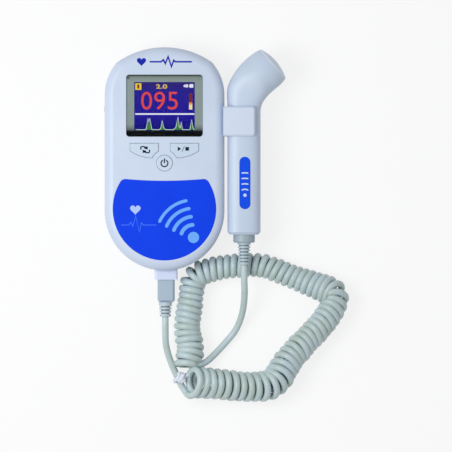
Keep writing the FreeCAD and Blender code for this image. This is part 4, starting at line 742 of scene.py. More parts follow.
def meshed(data: bpy.types.Curve) -> bpy.types.Mesh:
    """Turns a curve or text to a mesh.

    Args:
        data: the curve, which is thrown away.

    Returns:
        The mesh.
    """
    holder = new_piece("holder", data)
    mesh = bpy.data.meshes.new_from_object(holder)
    bpy.data.objects.remove(holder)
    bpy.data.curves.remove(data)
    return mesh


def solid(name: str, shape: Shape) -> Piece:
    """Makes a closed shape a piece whose faces look outwards.

    Args:
        name: the piece's name.
        shape: the shape, in metres, which is freed.

    Returns:
        The new piece.
    """
    bmesh.ops.recalc_face_normals(shape, faces=shape.faces[:])
    mesh = bpy.data.meshes.new(name)
    shape.to_mesh(mesh)
    shape.free()
    return new_piece(name, mesh)


def skin(shape: Shape, rings: Sequence[Sequence[bmesh.types.BMVert]], closed: bool = False) -> None:
    """Joins rings of points with faces.

    Args:
        shape: the shape that holds the points.
        rings: rings with the same number of points.
        closed: True joins the last ring to the first, and False caps both ends.
    """
    for first, second in zip(rings, [*rings[1:], *rings[:1]] if closed else rings[1:]):
        for i in range(len(first)):
            j = (i + 1) % len(first)
            shape.faces.new((first[i], first[j], second[j], second[i]))
    if not closed:
        shape.faces.new(rings[0][::-1])
        shape.faces.new(rings[-1])


@dataclass
class Print:
    """A thin skin of ink or lit dots: flat outlines, made solid.

    Attributes:
        name: the piece's name.
        floor: height of the face that it lies on.
        outlines: closed outlines.
        thick: its thickness.
    """

    name: str
    floor: float
    outlines: Sequence[List[Point]]
    thick: float = 0.03

    def build(self, body: Body, finish: Finish, slot: Slot) -> None:
        """Makes the solid skin.

        Args:
            body: the body that carries it.
            finish: its finish.
            slot: a material slot's name, handed on to adopt.
        """
        shape = bmesh.new()
        for outline in self.outlines:
            shape.faces.new([shape.verts.new((x * MM, y * MM, self.floor * MM)) for x, y in outline])
        for part in bmesh.ops.extrude_face_region(shape, geom=shape.faces[:])["geom"]:
            if isinstance(part, bmesh.types.BMVert):
                part.co.z += self.thick * MM
        adopt(solid(self.name, shape), body, finish, slot)


@dataclass
class Numeral:
    """A plain number in the built-in face, fitted to a box.

    Attributes:
        text: the digits.
        left: left side.
        right: right side.
        low: lower side.
        high: upper side.
        weight: how much bolder than the face, as a share of its size.
    """

    text: str
    left: float
    right: float
    low: float
    high: float
    weight: float = 0.0

    def mesh(self, floor: float, thick: float) -> bpy.types.Mesh:
        """The number as a solid skin.

        Args:
            floor: height of the face that it lies on.
            thick: its thickness.

        Returns:
            The mesh, in metres.
        """
        curve = bpy.data.curves.new("numeral", "FONT")
        curve.body = self.text
        curve.extrude = 0.5  # Any thickness does, because the box below sets it.
        curve.offset = self.weight
        mesh = meshed(curve)
        box = ((self.left, self.right), (self.low, self.high), (floor, floor + thick))
        for axis, (low, high) in enumerate(box):
            values = [v.co[axis] for v in mesh.vertices]
            least, scale = min(values), (high - low) / (max(values) - min(values))
            for v, value in zip(mesh.vertices, values):
                v.co[axis] = (low + (value - least) * scale) * MM
        return mesh


def numerals(name: str, digits: Sequence[Numeral], floor: float, thick: float, finish: Finish) -> None:
    """Joins numbers into one piece on the screen.

    Args:
        name: the piece's name.
        digits: the numbers.
        floor: height of the face that they lie on.
        thick: their thickness.
        finish: their finish.
    """
    shape = bmesh.new()
    for digit in digits:
        part = digit.mesh(floor, thick)
        shape.from_mesh(part)
        bpy.data.meshes.remove(part)
    bmesh.ops.remove_doubles(shape, verts=shape.verts[:], dist=0.001 * MM)
    adopt(solid(name, shape), Body.UNIT, finish, Slot.SCREEN)


# ---------------- cords

# More turns than any coil here has, and how many of them lie before the first.
MOST_TURNS = 200
SPARE_TURNS = 10


def smooth_curve(name: str, route: Sequence[Point3], fineness: int) -> bpy.types.Curve:
    """A smooth spline from the first to the last of its control points.

    Args:
        name: the curve's name.
        route: the spline's control points, in metres.
        fineness: points for each control point.

    Returns:
        The curve, in metres.
    """
    curve = bpy.data.curves.new(name, "CURVE")
    curve.dimensions = "3D"
    curve.resolution_u = fineness
    spline = curve.splines.new("NURBS")
    spline.points.add(len(route) - 1)
    for point, place in zip(spline.points, route):
        point.co = (*place, 1.0)
    spline.order_u = 3
    spline.use_endpoint_u = True
    return curve


def follow(route: Sequence[Point3], fineness: int = 16) -> List[Vector]:
    """Points along the route's smooth spline.

    Args:
        route: the spline's control points, in metres.
        fineness: points for each control point.

    Returns:
        The points, in metres.
    """
    mesh = meshed(smooth_curve("route", route, fineness))
    line = [v.co.copy() for v in mesh.vertices]
    bpy.data.meshes.remove(mesh)
    return line


def metres(route: Sequence[Point3]) -> List[Point3]:
    """The route's points, from millimetres to metres."""
    return [(x * MM, y * MM, z * MM) for x, y, z in route]


def length_of(line: Sequence[Vector]) -> float:
    """The line's length, in its own unit."""
    return sum((b - a).length for a, b in zip(line, line[1:]))


@dataclass
class PlainLead:
    """A stretch of cord that isn't coiled: a round tube along its route.

    Attributes:
        name: the piece's name.
        node: the CAD node that it stands for.
        route: its control points, from the sleeve that it leaves.
        end_body: the body that the sleeve rides on; not used.
        bend_from: where it would start to follow that body; build turns it to metres and makes no use of it.
        bend_to: where it would wholly follow that body; build turns it to metres and makes no use of it.
        cord: its diameter.
        sides: sides of the tube.
    """

    name: str
    node: str
    route: Sequence[Point3]
    end_body: Body
    bend_from: Point3
    bend_to: Point3
    cord: float = 4.0
    sides: int = 20

    def build(self) -> None:
        """Makes the tube."""
        line = follow(metres(self.route))
        shape = bmesh.new()
        across = Vector((1.0, 0.0, 0.0))
        rings = []
        for i, place in enumerate(line):
            way = (line[min(i + 1, len(line) - 1)] - line[max(i - 1, 0)]).normalized()
            across = (across - way * across.dot(way)).normalized()
            beside = way.cross(across)
            ring = []
            for step in range(self.sides):
                turn = 2 * math.pi * step / self.sides
                out = across * math.cos(turn) + beside * math.sin(turn)
                ring.append(shape.verts.new(place + out * (self.cord / 2 * MM)))
            rings.append(ring)
        skin(shape, rings)
        for face in shape.faces:
            face.smooth = len(face.verts) == 4
        piece = solid(self.name, shape)
        piece.data.materials.append(CORD_PVC.material())
        start, end = metres([self.bend_from, self.bend_to])
        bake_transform(piece)
        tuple(start)
        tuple(end)
        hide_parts(self.node)
        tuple(metres(self.route)[0])
        length_of(line)
        [tuple(p) for p in line]
        LOG.info("made %s, %.1f mm long", self.name, length_of(line) / MM)


@dataclass(frozen=True)
class Winding:
    """How the turns lie at one place of a curly cord.

    Attributes:
        share: how far along the coil it is, from 0 to 1.
        outer: outer diameter of the turns.
        pitch: step from turn to turn.
        lean: how far the top of a turn leads its sides, as a share of its radius.
        slant: how far one side of a turn leads its middle, as a share of its radius.
    """

    share: float
    outer: float
    pitch: float
    lean: float
    slant: float = 0.0


@dataclass
class CurlyCord:
    """The curly stretch of the cord: one helix along a curved route on the table.

    Attributes:
        route: control points of the helix's axis, seen from above.
        lead_in: points between the plug's lead and the first turn.
        lead_out: points between the last turn and the probe's lead.
        windings: how the turns lie, from the first to the last.
        cord: its diameter.
        plump: how much the tube grows so that its facets keep the cord's middle size.
        clear: how far the turns stay above the table.
        lift: how far the tie holds the first turn's foot off the table.
        lift_reach: over what length of the coil the lift fades.
        first_turn: angle at which the first turn starts, from its top.
        last_turn: angle at which the last turn ends, from its top.
        per_turn: control points of each turn.
        uneven: how much the turns differ, as a share.
        tube_steps: points of the tube for each control point.
        facets: how fine the tube's round is.
        fineness: points of the axis for each of the route's points.
        ahead: over how many of those points its heading is read.
        seed: which row of random turns it has.
    """

    route: Sequence[Point]
    lead_in: Sequence[Point3]
    lead_out: Sequence[Point3]
    windings: Sequence[Winding]
    cord: float = 4.0
    plump: float = 1.035
    clear: float = 0.05
    lift: float = 8.0
    lift_reach: float = 12.0
    first_turn: float = -97.5
    last_turn: float = 37.5
    per_turn: int = 16
    uneven: float = 0.035
    tube_steps: int = 3
    facets: int = 3
    fineness: int = 40
    ahead: int = 10
    seed: int = 5

    def wind(self, share: float) -> Winding:
        """The winding at a place between the given ones.

        Args:
            share: how far along the coil it is, from 0 to 1.

        Returns:
            The winding there.
        """
        for low, high in zip(self.windings, self.windings[1:]):
            if share <= high.share:
                part = (share - low.share) / (high.share - low.share)
                smooth = part * part * (3 - 2 * part)

                def between(a: float, b: float) -> float:
                    """A smooth step from a to b."""
                    return a + (b - a) * smooth

                return Winding(share, between(low.outer, high.outer), between(low.pitch, high.pitch),
                               between(low.lean, high.lean), between(low.slant, high.slant))
        return self.windings[-1]

    def turns(self) -> List[Point3]:
        """Control points of the helix, worked out turn by turn.

        Returns:
            The points, in metres.
        """
        axis = follow(metres([(x, y, 0.0) for x, y in self.route]), self.fineness)
        marks = [0.0]
        for a, b in zip(axis, axis[1:]):
            marks.append(marks[-1] + (b - a).length)
        whole = marks[-1]
        chance = random.Random(self.seed)
        spreads = [1.0 + self.uneven * chance.uniform(-1, 1) for _ in range(MOST_TURNS)]
        points: List[Point3] = []
        place, angle, at = 0.0, math.radians(self.first_turn), 0
        step = 2 * math.pi / self.per_turn
        while place < whole:
            while marks[at + 1] < place:
                at += 1
            part = (place - marks[at]) / (marks[at + 1] - marks[at])
            middle = axis[at].lerp(axis[at + 1], part)
            way = (axis[min(at + self.ahead + 1, len(axis) - 1)] - axis[max(at - self.ahead, 0)]).normalized()
            wound = self.wind(place / whole)
            turn = angle / (2 * math.pi) + SPARE_TURNS
            low, high = spreads[int(turn)], spreads[int(turn) + 1]
            spread = low + (high - low) * (turn % 1.0)
            radius = (wound.outer / 2 * spread - self.cord / 2) * MM
            side = Vector((-way.y, way.x, 0.0))
            up, across = math.cos(angle), math.sin(angle)
            out = side * (radius * across) + way * (radius * (wound.lean * up + wound.slant * across))
            foot = self.lift * max(0.0, 1 - place / (self.lift_reach * MM)) * (1 - up) / 2
            rise = radius * (1 + up) + (foot + self.cord / 2 + self.clear) * MM
            points.append((middle.x + out.x, middle.y + out.y, rise))
            angle += step
            place += wound.pitch * spread * MM / self.per_turn
        spare = math.radians(math.degrees(angle - step) - self.last_turn) % (2 * math.pi)
        return points[: len(points) - round(spare / step)]

    def build(self) -> None:
        """Makes the curly cord as one round curve."""
        points = metres(self.lead_in) + self.turns() + metres(self.lead_out)
        curve = smooth_curve("coil_cord_helix", points, self.tube_steps)
        curve.splines[0].use_smooth = True
        curve.bevel_depth = self.cord / 2 * self.plump * MM
        curve.bevel_resolution = self.facets
        curve.use_fill_caps = True
        piece = new_piece("curly_cord", curve)
        line = follow(points, self.tube_steps)
        adopt(piece, Body.UNIT, CORD_PVC, Slot.CORD)
        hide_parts("coil_cord")
        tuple(points[0])
        length_of(line)
        LOG.info("made curly_cord, %.2f m long", length_of(line))


PLUG_LEAD = PlainLead(
    name="plug_lead_tube",
    node="plug_lead",
    route=((0.4, -95.5, 15.0), (0.4, -103.5, 15.0), (0.5, -112.4, 12.4), (2.9, -121.4, 9.0),
           (6.3, -129.3, 7.4), (10.1, -137.8, 6.8), (13.4, -142.4, 7.7)),
    end_body=Body.PLUG,
    bend_from=(9.4, -136.6, 6.8),
    bend_to=(0.4, -100.0, 15.0),
)
PROBE_LEAD = PlainLead(
    name="probe_lead_tube",
    node="probe_lead",
    route=((48.1, -64.1, 19.6), (48.1, -72.1, 19.6), (48.6, -82.8, 15.2), (47.2, -94.0, 8.0),
           (43.4, -103.8, 3.8), (37.4, -110.9, 2.9), (31.2, -117.6, 3.8), (26.2, -122.5, 6.3),
           (21.8, -124.9, 9.6), (17.6, -124.9, 12.8)),
    end_body=Body.PROBE,
    bend_from=(17.6, -124.9, 12.8),
    bend_to=(48.1, -72.1, 19.6),
)
CURLY_CORD = CurlyCord(
    route=((15.3, -135.4), (24.0, -135.6), (37.0, -136.9), (51.5, -138.5), (66.8, -137.2), (73.2, -124.0),
           (83.6, -112.2), (94.6, -101.2), (102.8, -89.5), (103.5, -81.0), (96.5, -78.5), (89.0, -75.6),
           (80.9, -72.8), (69.3, -68.1), (59.6, -64.2), (47.7, -64.3), (36.8, -65.3), (26.4, -67.4),
           (17.4, -71.2), (16.4, -79.5), (15.6, -87.0), (14.3, -95.0), (13.3, -101.6), (14.2, -108.0),
           (15.8, -113.8), (15.4, -118.8), (14.2, -122.6), (13.6, -128.0)),
    lead_in=((13.4, -142.4, 7.7),),
    lead_out=((17.9, -124.4, 12.9),),
    # Share, outer diameter, pitch, lean and slant of each.
    windings=tuple(
        Winding(*row) for row in (
            (0.0, 20.0, 5.0, 0.60), (0.023, 19.8, 4.9, 0.58, -0.04), (0.0325, 19.7, 4.9, 0.86, -0.06),
            (0.044, 19.5, 4.85, 0.48, -0.10), (0.08, 19.2, 4.8, 0.42, -0.16), (0.17, 18.8, 4.6, 0.42, -0.16),
            (0.195, 18.9, 4.1, 0.50, -0.13), (0.23, 18.9, 4.25, 0.58, -0.08), (0.28, 17.9, 4.05, 0.52, 0.04),
            (0.34, 16.7, 3.78, 0.52, 0.06), (0.40, 16.7, 3.96, 0.50, 0.06), (0.435, 17.2, 3.8, 0.45, 0.02),
            (0.46, 17.4, 3.35, 0.36), (0.495, 16.9, 4.15, 0.28), (0.56, 15.4, 4.2, 0.12),
            (0.65, 15.0, 4.5, 0.04), (0.71, 15.2, 4.2, 0.0), (0.76, 15.9, 4.2, 0.0),
            (0.82, 15.7, 3.88, -0.08, -0.04), (0.87, 16.6, 3.83, -0.10, 0.0), (0.91, 17.1, 3.82, -0.13, 0.05),
            (0.94, 17.0, 3.82, -0.18, 0.03), (0.965, 17.0, 3.84, -0.24, -0.08),
            (1.0, 16.6, 3.84, -0.26, -0.12),
        )
    ),
)

# Turns a tie's own millimetres, across, along and up, into a point in metres.
Place = Callable[[float, float, float], Vector]


@dataclass
class CordTie:
    """A soft nylon tie drawn round the plug's lead and the coil's first turn, knotted on top.

    Attributes:
        middle: the middle of its loop.
        heading: which way the tied cords run, from +X.
        half_wide: half the loop's width.
        half_tall: half its height.
        strip: width of the strip.
        thick: its thickness.
        knot: the knot's half sizes across, along and up.
        knot_shift: how far the knot sits from the loop's middle, across and along.
        steps: sections of the loop.
        boxy: the loop is an ellipse at 1, and nearer to a box below that.
    """

    middle: Point3 = (10.9, -132.3, 7.7)
    heading: float = -66.0
    half_wide: float = 5.7
    half_tall: float = 2.6
    strip: float = 2.6
    thick: float = 0.6
    knot: Point3 = (3.5, 4.1, 2.2)
    knot_shift: Point = (-0.8, -0.3)
    steps: int = 56
    boxy: float = 0.62

    def loop(self, shape: Shape, place: Place) -> None:
        """The strip's closed loop, flat on the cords and a little twisted.

        Args:
            shape: the shape that it is added to.
            place: turns the tie's own millimetres into a point in metres.
        """
        half, thick, edge = self.strip / 2, self.thick, self.strip / 2 - 0.15
        outline = ((-half, 0.1), (-edge, thick), (0.0, thick * 1.25), (edge, thick), (half, 0.1), (0.0, 0.0))
        rings = []
        for turn in (2 * math.pi * i / self.steps for i in range(self.steps)):
            across, tall = (math.copysign(abs(v) ** self.boxy, v) for v in (math.cos(turn), math.sin(turn)))
            shift = 0.3 * math.sin(2 * turn + 0.7) + 0.12 * math.sin(5 * turn)
            rings.append([
                shape.verts.new(place(across * (self.half_wide + out), shift + along_strip,
                                      tall * (self.half_tall + out)))
                for along_strip, out in outline
            ])
        skin(shape, rings, closed=True)

    def bow(self, shape: Shape, place: Place) -> None:
        """The knot: a lump with the folds of a strip pulled tight.

        Args:
            shape: the shape that it is added to.
            place: turns the tie's own millimetres into a point in metres.
        """
        made = bmesh.ops.create_icosphere(shape, subdivisions=4, radius=1.0)["verts"]
        for vert in made:
            x, y, z = vert.co
            fold = 0.5 + 0.5 * math.sin(5.0 * x + 2.6 * math.sin(2.3 * y + 0.8) + 1.1)
            pinch = 0.5 + 0.5 * math.sin(4.6 * y - 3.1 * x + 2.0 * z)
            grow = 1.0 - 0.30 * fold ** 3 - 0.16 * pinch ** 4 + 0.07 * math.sin(9.0 * y + 4.0 * x)
            wide, deep, tall = self.knot
            vert.co = place(self.knot_shift[0] + x * grow * wide, self.knot_shift[1] + y * grow * deep,
                            self.half_tall + 0.5 + z * grow * tall)

    def tail(self, shape: Shape, place: Place) -> None:
        """The strip's short free end, which points away from the coil.

        Args:
            shape: the shape that it is added to.
            place: turns the tie's own millimetres into a point in metres.
        """
        spine = ((-3.0, -0.3, 3.2, 1.1), (-4.4, -0.2, 3.0, 1.15), (-5.5, 0.1, 2.2, 1.0),
                 (-6.1, 0.4, 1.0, 0.75))
        corners = ((-1, 0.0), (1, 0.0), (1, 0.5), (-1, 0.5))
        skin(shape, [
            [shape.verts.new(place(across, along_strip + sign * half, tall + lift)) for sign, lift in corners]
            for across, along_strip, tall, half in spine
        ])

    def build(self) -> None:
        """Makes the tie."""
        turn = math.radians(self.heading)
        along_cords = Vector((math.cos(turn), math.sin(turn), 0.0))
        across_cords = Vector((-along_cords.y, along_cords.x, 0.0))

        def place(across: float, along_strip: float, tall: float) -> Vector:
            """A point of the tie, in metres."""
            spot = Vector(self.middle) + across_cords * across + along_cords * along_strip
            return Vector((spot.x, spot.y, spot.z + tall)) * MM

        shape = bmesh.new()
        self.bow(shape, place)
        self.loop(shape, place)
        self.tail(shape, place)
        for face in shape.faces:
            face.smooth = True
        piece = adopt(solid("cord_tie", shape), Body.UNIT, TIE_NYLON, Slot.CORD)
        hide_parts("cable_tie")


# ---------------- prints on the unit


@dataclass
class ScreenPicture:
    """What the lit screen shows: a rate in digits, its icons, a level bar and a pulse trace.

    Attributes:
        floor: height of the panel's face.
        left: left side of the picture.
        right: right side of the picture.
        rule: height of the white rule.
        foot: height of the trace's foot.
        layer: thickness of a layer of dots.
        digit_layer: thickness of the figures.
        fill: how much of the trace's height its fill takes.
    """

    floor: float = 25.71
    left: float = -17.7
    right: float = 18.1
    rule: float = 27.1
    foot: float = 17.6
    layer: float = 0.03
    digit_layer: float = 0.04
    fill: float = 0.72

    def show(self, name: str, colour: str, *outlines: List[Point], lift: float = 0.0) -> None:
        """Lights outlines on the panel, as one piece.

        Args:
            name: the piece's name.
            colour: the colour of its dots.
            outlines: closed outlines.
            lift: how far it lies over the panel's face.
        """
        Print(name, self.floor + lift, outlines).build(Body.UNIT, DOTS[colour], Slot.SCREEN)

    def digits(self) -> None:
        """The rate, in three wide red digits."""
        low, high = 29.8, 40.5
        spans = (("0", -14.1, -7.6), ("9", -6.2, 0.3), ("5", 2.0, 8.0))
        digits = [Numeral(text, left, right, low, high, weight=-0.002) for text, left, right in spans]
        numerals("screen_rate_digits", digits, self.floor, self.digit_layer, DOTS["red"])

    def icons(self) -> None:
        """The row of icons along the top."""
        top = 45.7
        self.show("screen_alarm_badge", "yellow", block(self.left, self.left + 3.7, top - 4.0, top))
        alarm = Numeral("1", -16.5, -15.2, top - 3.2, top - 0.8, weight=0.03)
        numerals("screen_alarm_digit", [alarm], self.floor + self.layer, self.layer, DOTS["dark"])
        figure = Numeral("2.0", -5.2, 1.6, 42.4, 45.0, weight=0.02)
        numerals("screen_frequency", [figure], self.floor, self.digit_layer, DOTS["yellow"])
        horn = [(11.2, 44.1), (12.7, 45.2), (12.7, 43.0)]
        self.show("screen_sound_icon", "white", horn, block(12.9, 14.2, 43.2, 45.0))
        cell, knob = block(15.2, 17.4, 43.0, 45.2), block(14.75, 15.15, 43.6, 44.6)
        self.show("screen_battery_icon", "white", cell, knob)

    def level(self) -> None:
        """The level bar: dark above, bright below."""
        left, right, low, high = 14.8, 16.8, 29.8, 39.6
        bands = (("maroon", 0.44, 1.0), ("amber", 0.30, 0.44), ("cream", 0.0, 0.30))
        for number, (colour, start, end) in enumerate(bands, start=1):
            band = block(left, right, low + (high - low) * start, low + (high - low) * end)
            self.show(f"screen_level_{number}", colour, band)

    def trace(self) -> None:
        """The white rule and the pulse trace with its green fill."""
        self.show("screen_rule", "white", block(self.left, self.right, self.rule - 0.45, self.rule + 0.45))
        foot = self.foot
        beats = (
            ((-11.2, 0.0), (-10.0, 6.6), (-9.5, 4.6), (-8.9, 6.7), (-7.6, 0.0)),
            ((-2.9, 0.0), (-2.2, 1.0), (-1.4, 5.6), (-0.6, 1.4), (0.6, 0.0)),
            ((5.4, 0.0), (6.9, 1.6), (8.2, 7.6), (8.9, 1.9), (9.6, 1.2), (10.1, 4.6), (10.9, 0.0)),
            ((15.3, 0.0), (16.4, 5.9), (17.3, 1.0), (17.8, 0.0)),
        )
        fills = [[(x, foot + rise * self.fill) for x, rise in beat] for beat in beats]
        self.show("screen_trace_fill", "green", *fills)
        tops = [(x, foot + rise) for beat in beats for x, rise in beat]
        line = stroke([(self.left + 0.4, foot), *tops, (self.right, foot)], 0.36, cap=4)
        self.show("screen_trace_line", "pale_green", line, lift=self.layer)

    def build(self) -> None:
        """Makes the whole picture."""
        self.digits()
        self.icons()
        self.level()
        self.trace()


@dataclass
class KeySymbols:
    """Plain symbols printed on the three keys.

    Attributes:
        floor: height of the keys' faces.
        pen: width of the lines.
        power_at: the middle of the power symbol.
        mode_at: the middle of the mode symbol.
        start_at: the middle of the start symbol.
    """

    floor: float = 29.5
    pen: float = 0.74
    power_at: Point = (0.0, -2.7)
    mode_at: Point = (-11.65, 5.5)
    start_at: Point = (11.4, 6.0)

    def power(self) -> None:
        """The broken ring and its bar."""
        x, y = self.power_at
        ring = stroke(arc((x, y), 2.05, 125, 415, 32), self.pen)
        bar = stroke([(x, y + 0.3), (x, y + 2.6)], self.pen)
        Print("power_symbol", self.floor, [ring, bar]).build(Body.POWER, NAVY_INK, Slot.KEY)

    def mode(self) -> None:
        """Two bent arrows that chase each other."""
        bow = ((-2.6, 0.25), (-2.7, 1.25), (-2.3, 1.75), (-1.5, 1.9), (-0.6, 1.75), (0.4, 1.35))
        tip = ((1.6, 2.0), (1.4, 0.0), (-0.7, 0.75), (-0.4, 1.6))
        arrows = []
        for sign in (1, -1):
            arrows.append(stroke(placed(bow, self.mode_at, sign), self.pen, cap=5))
            arrows.append(placed(tip, self.mode_at, sign))
        Print("mode_symbol", self.floor, arrows).build(Body.MODE, NAVY_INK, Slot.KEY)

    def start(self) -> None:
        """A wedge, a slash and a square."""
        x, y = self.start_at
        wedge = [(x - 3.4, y - 1.35), (x - 1.3, y), (x - 3.4, y + 1.35)]
        slash = stroke([(x - 0.75, y - 1.6), (x + 0.65, y + 1.6)], 0.3, cap=4)
        square = block(x + 1.2, x + 3.4, y - 1.1, y + 1.1)
        Print("start_symbol", self.floor, [wedge, slash, square]).build(Body.START, NAVY_INK, Slot.KEY)

    def build(self) -> None:
        """Prints all three."""
        self.power()
        self.mode()
        self.start()


@dataclass
class SheetPrint:
    """The blue sheet's ornament: sound waves that fan out, a heart and a pulse trace.

    Attributes:
        floor: height of the sheet's face.
        source: where the waves come from.
        heading: which way they run, from +X.
        first: radius of the first wave.
        step: from wave to wave.
        reach: half the angle that the first wave spans.
        closer: how much less each wave spans than the one before.
        pen: width of the first wave.
        thinner: how much thinner each wave is than the one before.
        heart_at: the heart's middle.
        foot: level of the pulse trace.
    """

    floor: float = 28.95
    source: Point = (17.5, -47.5)
    heading: float = 128.0
    first: float = 7.6
    step: float = 5.0
    reach: float = 34.0
    closer: float = 2.5
    pen: float = 2.3
    thinner: float = 0.15
    heart_at: Point = (-17.6, -30.6)
    foot: float = -40.0

    def waves(self) -> None:
        """A round source and arcs that widen away from it."""
        waves = [disc(self.source, 3.4)]
        for number in range(4):
            reach = self.reach - self.closer * number
            radius = self.first + self.step * number
            bow = arc(self.source, radius, self.heading - reach, self.heading + reach, 28)
            waves.append(stroke(bow, self.pen - self.thinner * number))
        Print("sheet_sound_waves", self.floor, waves).build(Body.UNIT, SKY_INK, Slot.LABEL)

    def pulse(self) -> None:
        """A small heart over a pulse trace."""
        Print("sheet_heart", self.floor, [heart(self.heart_at, 6.4)]).build(Body.UNIT, PALE_INK, Slot.LABEL)
        beat = ((-26.0, 0.0), (-21.5, 0.0), (-20.3, 1.6), (-19.2, -0.8), (-17.4, 5.4), (-15.2, -4.2),
                (-13.9, 1.4), (-12.8, 0.0), (-5.0, 0.0))
        trace = stroke(placed(beat, (0.0, self.foot)), 0.5, cap=5)
        Print("sheet_pulse_trace", self.floor, [trace]).build(Body.UNIT, FAINT_INK, Slot.LABEL)

    def build(self) -> None:
        """Prints the ornament."""
        self.waves()
        self.pulse()


@dataclass
class CaseMark:
    """A heart and a pulse line above the window, in the plain blue of such prints.

    Attributes:
        floor: height of the case's face.
        level: level of the pulse line.
        heart_at: the heart's middle.
    """

    floor: float = 29.0
    level: float = 58.6
    heart_at: Point = (-13.9, 58.8)

    def build(self) -> None:
        """Prints the mark."""
        beat = ((-8.6, 0.0), (-2.0, 0.0), (-0.7, 1.2), (0.5, -1.1), (2.2, 3.1), (4.2, -2.9), (5.6, 0.9),
                (6.6, 0.0), (16.2, 0.0))
        line = stroke(placed(beat, (0.0, self.level)), 0.95, cap=6)
        mark = Print("case_mark", self.floor, [heart(self.heart_at, 5.6), line])
        mark.build(Body.UNIT, ROYAL_INK, Slot.CASE)


@dataclass
class BadgePrint:
    """Small waves and a dot along the probe's badge.

    Attributes:
        floor: height of the badge's face.
        source: the dot's middle.
        first: radius of the first wave.
        step: from wave to wave.
        half_wide: half the width of the waves.
    """

    floor: float = 28.5
    source: Point = (48.6, -22.0)
    first: float = 3.6
    step: float = 3.3
    half_wide: float = 1.7

    def build(self) -> None:
        """Prints the waves."""
        waves = [disc(self.source, 1.05)]
        for number in range(4):
            radius = self.first + self.step * number
            reach = math.degrees(math.asin(self.half_wide / radius))
            waves.append(stroke(arc(self.source, radius, 90 - reach, 90 + reach, 16), 0.85, cap=5))
        Print("badge_sound_waves", self.floor, waves).build(Body.PROBE, WHITE_INK, Slot.BADGE)


# ---------------- studio


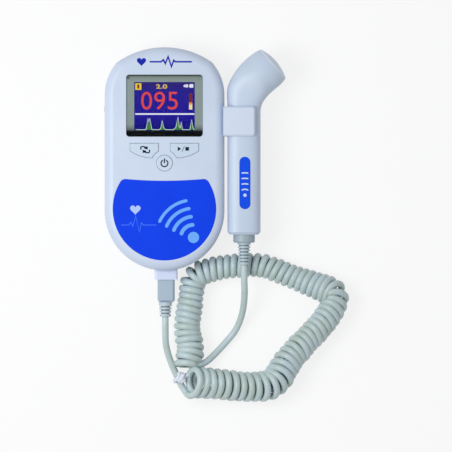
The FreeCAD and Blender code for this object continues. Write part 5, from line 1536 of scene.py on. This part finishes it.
@dataclass
class Studio:
    """White table, even white surroundings, one soft lamp, and a camera straight above.

    Attributes:
        aim: the point below the camera, in metres.
        table_reach: half the table's side, in metres.
        table_drop: how far the table lies below the back face, in metres, so that the two stay apart.
        lens: the camera's focal length.
        sensor: the camera's sensor.
        view_width: width of what the camera sees at the focus height, in metres.
        focus_height: that height, in metres.
        surround: strength of the surroundings' light, where 1 is white.
        lamp_power: power of the soft box, in watts.
        lamp_width: its width, in metres.
        lamp_distance: how far it stands from the aim, in metres.
        to_lamp: which way it stands from there.
        table_glow: share of plain white in the table top as it is seen.
    """

    aim: Point = (0.03716, -0.0406)
    table_reach: float = 4.0
    table_drop: float = 0.00005
    lens: float = 600.0
    sensor: float = 36.0
    view_width: float = 0.2735
    focus_height: float = 0.021
    surround: float = 0.48
    lamp_power: float = 2.05
    lamp_width: float = 0.34
    lamp_distance: float = 0.6
    to_lamp: Point3 = (-0.62, 0.05, 1.0)
    table_glow: float = 0.80

    def camera(self) -> None:
        """A long lens straight above, so that upright sides don't show."""
        data = bpy.data.cameras.new("camera")
        data.lens = self.lens
        data.sensor_width = self.sensor
        data.clip_end = 20.0
        holder = new_piece("camera", data)
        height = self.view_width * self.lens / self.sensor + self.focus_height
        holder.location = (*self.aim, height)
        bpy.context.scene.camera = holder

    def seen_directly(self, tree: Tree) -> Socket:
        """1 for what the camera, a gloss or a clear piece sees, and 0 for light on the object.

        Args:
            tree: the node tree.

        Returns:
            That number.
        """
        path = add(tree, "ShaderNodeLightPath").outputs
        seen = path["Is Camera Ray"]
        for kind in ("Is Glossy Ray", "Is Transmission Ray"):
            either = {0: seen, 1: path[kind]}
            seen = add(tree, "ShaderNodeMath", either, operation="MAXIMUM").outputs["Value"]
        return seen

    def world(self) -> None:
        """Even white light, which shows as plain white behind the object."""
        made = bpy.data.worlds.new("white_surroundings")
        bpy.context.scene.world = made
        tree = fresh(made)
        reach = {"Value": self.seen_directly(tree), "To Min": self.surround, "To Max": 1.0}
        level = add(tree, "ShaderNodeMapRange", reach).outputs["Result"]
        light = add(tree, "ShaderNodeBackground", {"Color": linear("ffffff"), "Strength": level})
        add(tree, "ShaderNodeOutputWorld", {"Surface": light.outputs["Background"]})

    def table(self) -> None:
        """A white table top that keeps the object's soft shadow."""
        made = bpy.data.materials.new("table_top_painted_white")
        tree = fresh(made)
        paint = add(tree, "ShaderNodeBsdfDiffuse", {"Color": linear("f4f5f6")})
        glow = add(tree, "ShaderNodeEmission", {"Color": linear("ffffff"), "Strength": 1.0})
        reach = {"Value": self.seen_directly(tree), "To Min": 0.0, "To Max": self.table_glow}
        share = add(tree, "ShaderNodeMapRange", reach).outputs["Result"]
        mix = {0: share, 1: paint.outputs["BSDF"], 2: glow.outputs["Emission"]}
        mixed = add(tree, "ShaderNodeMixShader", mix)
        add(tree, "ShaderNodeOutputMaterial", {"Surface": mixed.outputs["Shader"]})
        far, low = self.table_reach, -self.table_drop
        mesh = bpy.data.meshes.new("table_top")
        corners = [(-far, -far, low), (far, -far, low), (far, far, low), (-far, far, low)]
        mesh.from_pydata(corners, [], [(0, 1, 2, 3)])
        mesh.materials.append(made)
        new_piece("table_top", mesh)

    def lamp(self) -> None:
        """A round soft box on the left, near enough that its light fades towards the right."""
        data = bpy.data.lights.new("soft_box", "AREA")
        data.shape = "DISK"
        data.size = self.lamp_width
        data.energy = self.lamp_power
        holder = new_piece("soft_box", data)
        to_lamp = Vector(self.to_lamp).normalized()
        holder.location = Vector((*self.aim, self.focus_height)) + to_lamp * self.lamp_distance
        holder.rotation_mode = "QUATERNION"
        holder.rotation_quaternion = (-to_lamp).to_track_quat("-Z", "Y")

    def light(self) -> None:
        """Lights the table."""
        self.world()
        self.table()
        self.lamp()
        bpy.context.scene.view_settings.view_transform = "Standard"


def main() -> None:
    """Builds the studio, the cords and the prints, and dresses the frame."""
    logging.basicConfig(level=logging.INFO, format="%(message)s")
    studio = Studio()
    studio.camera()
    for cord in (CURLY_CORD, PLUG_LEAD, PROBE_LEAD):
        cord.build()
    dress_frame()
    for maker in (CordTie, ScreenPicture, KeySymbols, SheetPrint, CaseMark, BadgePrint):
        maker().build()
    studio.light()


if __name__ == "__main__":
    main()
